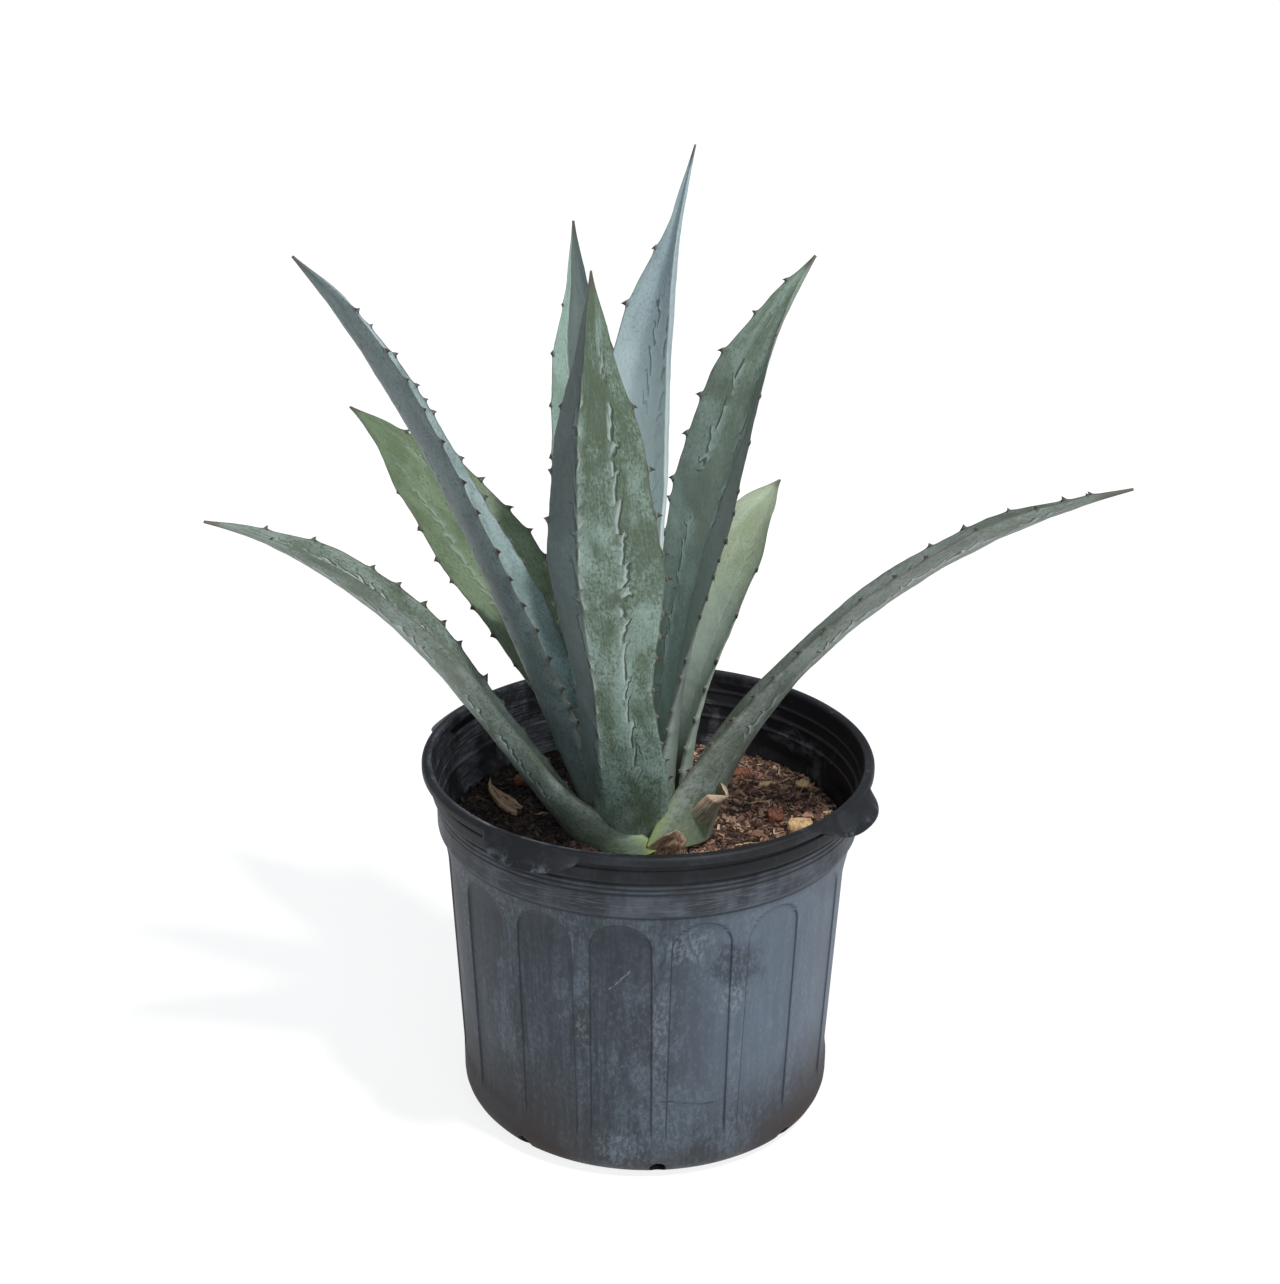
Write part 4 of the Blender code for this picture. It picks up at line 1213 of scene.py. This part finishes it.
def dry_finish(name, green):
    finish = Finish(name, roughness=0.85, specular=0.2)
    along, across = finish.value("along"), finish.value("across")
    shape = finish.node("ShaderNodeCombineXYZ", None, {0: across * 0.02, 1: along * 0.03})
    fibre = finish.cloud(finish.stretch(shape, (1.0, 0.15, 1.0)), 900.0, 4.0)
    blotch = finish.cloud(shape, 160.0, 5.0, 0.7)
    dry = finish.mix(fibre.rise(0.35, 0.65), (0.170, 0.085, 0.055), (0.420, 0.320, 0.220))
    dry = finish.mix(blotch.rise(0.50, 0.62) * 0.7, dry, (0.070, 0.038, 0.026))
    alive = along.rise(1.0, 0.55) * green
    living = finish.mix(fibre.rise(0.40, 0.60), (0.150, 0.165, 0.115), (0.330, 0.345, 0.260))
    colour = finish.mix(alive, dry, living)
    rim = (abs(across).rise(0.74, 0.95) + along.rise(0.86, 0.98)) * 0.55
    colour = finish.mix(rim, colour, (0.420, 0.320, 0.225))
    finish.colour(colour)
    finish.relief(fibre * 0.6 + blotch * 0.5, 0.0008)
    return finish


def ragged_remain(leaf, finish):
    piece = leaf_mesh(leaf, finish, rings=60, half_count=9)
    azimuth = math.radians(leaf.azimuth)
    direction = Vector((math.sin(azimuth), -math.cos(azimuth), 0.5))
    for vertex in piece.data.vertices:
        rough = noise.noise(vertex.co * 260.0) * 0.0010 + noise.noise(vertex.co * 90.0) * 0.0022
        vertex.co += direction * rough
    return piece


for leaf in REMAINS:
    green = 0.8 if leaf.name == "dry_stump" else 0.0
    piece = ragged_remain(leaf, dry_finish(f"{leaf.name}_skin", green))
    settle(piece, "dried_leaf", leaf.node)

# %% [markdown]
# ## Chips and straws
# A bark chip is a block split along its grain. A cube cut into a fine grid and pushed
# about by noise gives it broken ends and ridged sides. A straw is a thin tube that bows
# and thins along its length.


# %% Shape the chips
def wood_finish(name, pale, dark):
    finish = Finish(name, roughness=0.8, specular=0.25)
    place = finish.places()
    grain = finish.cloud(finish.stretch(place, (1.0, 0.3, 1.0)), 800.0, 4.0)
    stain = finish.cloud(place, 220.0, 3.0)
    colour = finish.mix(grain.rise(0.35, 0.65), dark, pale)
    darker = tuple(0.5 * part for part in dark)
    finish.colour(finish.mix(stain.rise(0.50, 0.70) * 0.6, colour, darker))
    finish.relief(grain, 0.0006)
    return finish


def chip_piece(node, slot, finish):
    low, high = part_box(node)
    centre, size = (low + high) / 2, (high - low)
    shape = bmesh.new()
    bmesh.ops.create_cube(shape, size=1.0)
    bmesh.ops.subdivide_edges(shape, edges=shape.edges, cuts=7, use_grid_fill=True)
    for vertex in shape.verts:
        point = vertex.co.copy()
        rounded = point.normalized() * 0.60
        point = point.lerp(rounded, 0.45)
        point = Vector((point.x * size.x, point.y * size.y, point.z * size.z)) + centre
        rough = noise.noise(point * 420.0) * 0.0011 + noise.noise(point * 1400.0) * 0.0003
        vertex.co = point + (point - centre).normalized() * rough
    mesh = bpy.data.meshes.new(node + "_split")
    shape.to_mesh(mesh)
    shape.free()
    mesh.shade_smooth()
    mesh.materials.append(finish.material)
    piece = bpy.data.objects.new(node + "_split", mesh)
    bpy.context.scene.collection.objects.link(piece)
    settle(piece, slot, node)


pale_wood = wood_finish("pale_split_wood", (0.660, 0.470, 0.260), (0.420, 0.260, 0.130))
red_bark = wood_finish("red_pine_bark", (0.240, 0.095, 0.055), (0.080, 0.034, 0.022))
for node in sorted(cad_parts):
    if node.startswith("pale_wood"):
        chip_piece(node, "pale_wood", pale_wood)
    elif node.startswith("bark_chip"):
        chip_piece(node, "bark", red_bark)


# %% Lay the straws
def straw_piece(node, start, end, radius, bow, finish):
    """A tapering tube between two places on the soil, bowed sideways."""
    count, sides = 40, 8
    start, end = Vector(start), Vector(end)
    side = (end - start).cross(Vector((0.0, 0.0, 1.0))).normalized()
    points = []
    for step in range(count):
        share = step / (count - 1)
        wobble = noise.noise(Vector((share * 4.0, radius * 900.0, 0.3))) * 0.0012
        centre = start.lerp(end, share) + side * (bow * math.sin(math.pi * share) + wobble)
        centre.z = soil_top(centre.x, centre.y) + 0.0012 + 0.0008 * math.sin(share * 9.0)
        thin = radius * (1.0 - 0.45 * share)
        for index in range(sides):
            angle = 2 * math.pi * index / sides
            points.append(centre + side * math.cos(angle) * thin
                          + Vector((0.0, 0.0, math.sin(angle) * thin)))
    faces = ring_faces(count, sides)
    faces += [tuple(range(sides)), tuple(range((count - 1) * sides, count * sides))]
    settle(add_mesh(node + "_fibre", points, faces, finish), "straw", node)


dry_straw = wood_finish("dry_straw", (0.560, 0.430, 0.250), (0.340, 0.240, 0.130))
straw_piece("straw_right", (0.033, 0.031, 0), (0.077, 0.029, 0), 0.0007, 0.003, dry_straw)
straw_piece("straw_front_right", (0.054, -0.031, 0), (0.082, -0.026, 0), 0.0006, -0.003, dry_straw)
straw_piece("straw_left", (-0.071, 0.010, 0), (-0.050, 0.020, 0), 0.0006, 0.002, dry_straw)

# %% [markdown]
# ## The stem
# The short stem is buried under the leaf bases and barely shows. Its plain solid has the
# right shape, so it stays and only gets a finish: pale fibrous tissue.


# %% Finish the stem
def stem_finish():
    finish = Finish("leaf_base_tissue", roughness=0.7, specular=0.3)
    place = finish.places()
    fibre = finish.cloud(finish.stretch(place, (1.0, 1.0, 0.2)), 600.0, 4.0)
    finish.colour(finish.mix(fibre, (0.300, 0.330, 0.160), (0.520, 0.560, 0.320)))
    finish.relief(fibre, 0.0005)
    return finish


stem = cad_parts["stem"]
stem.data.materials.clear()
stem.data.materials.append(stem_finish().material)
print("stem finished")
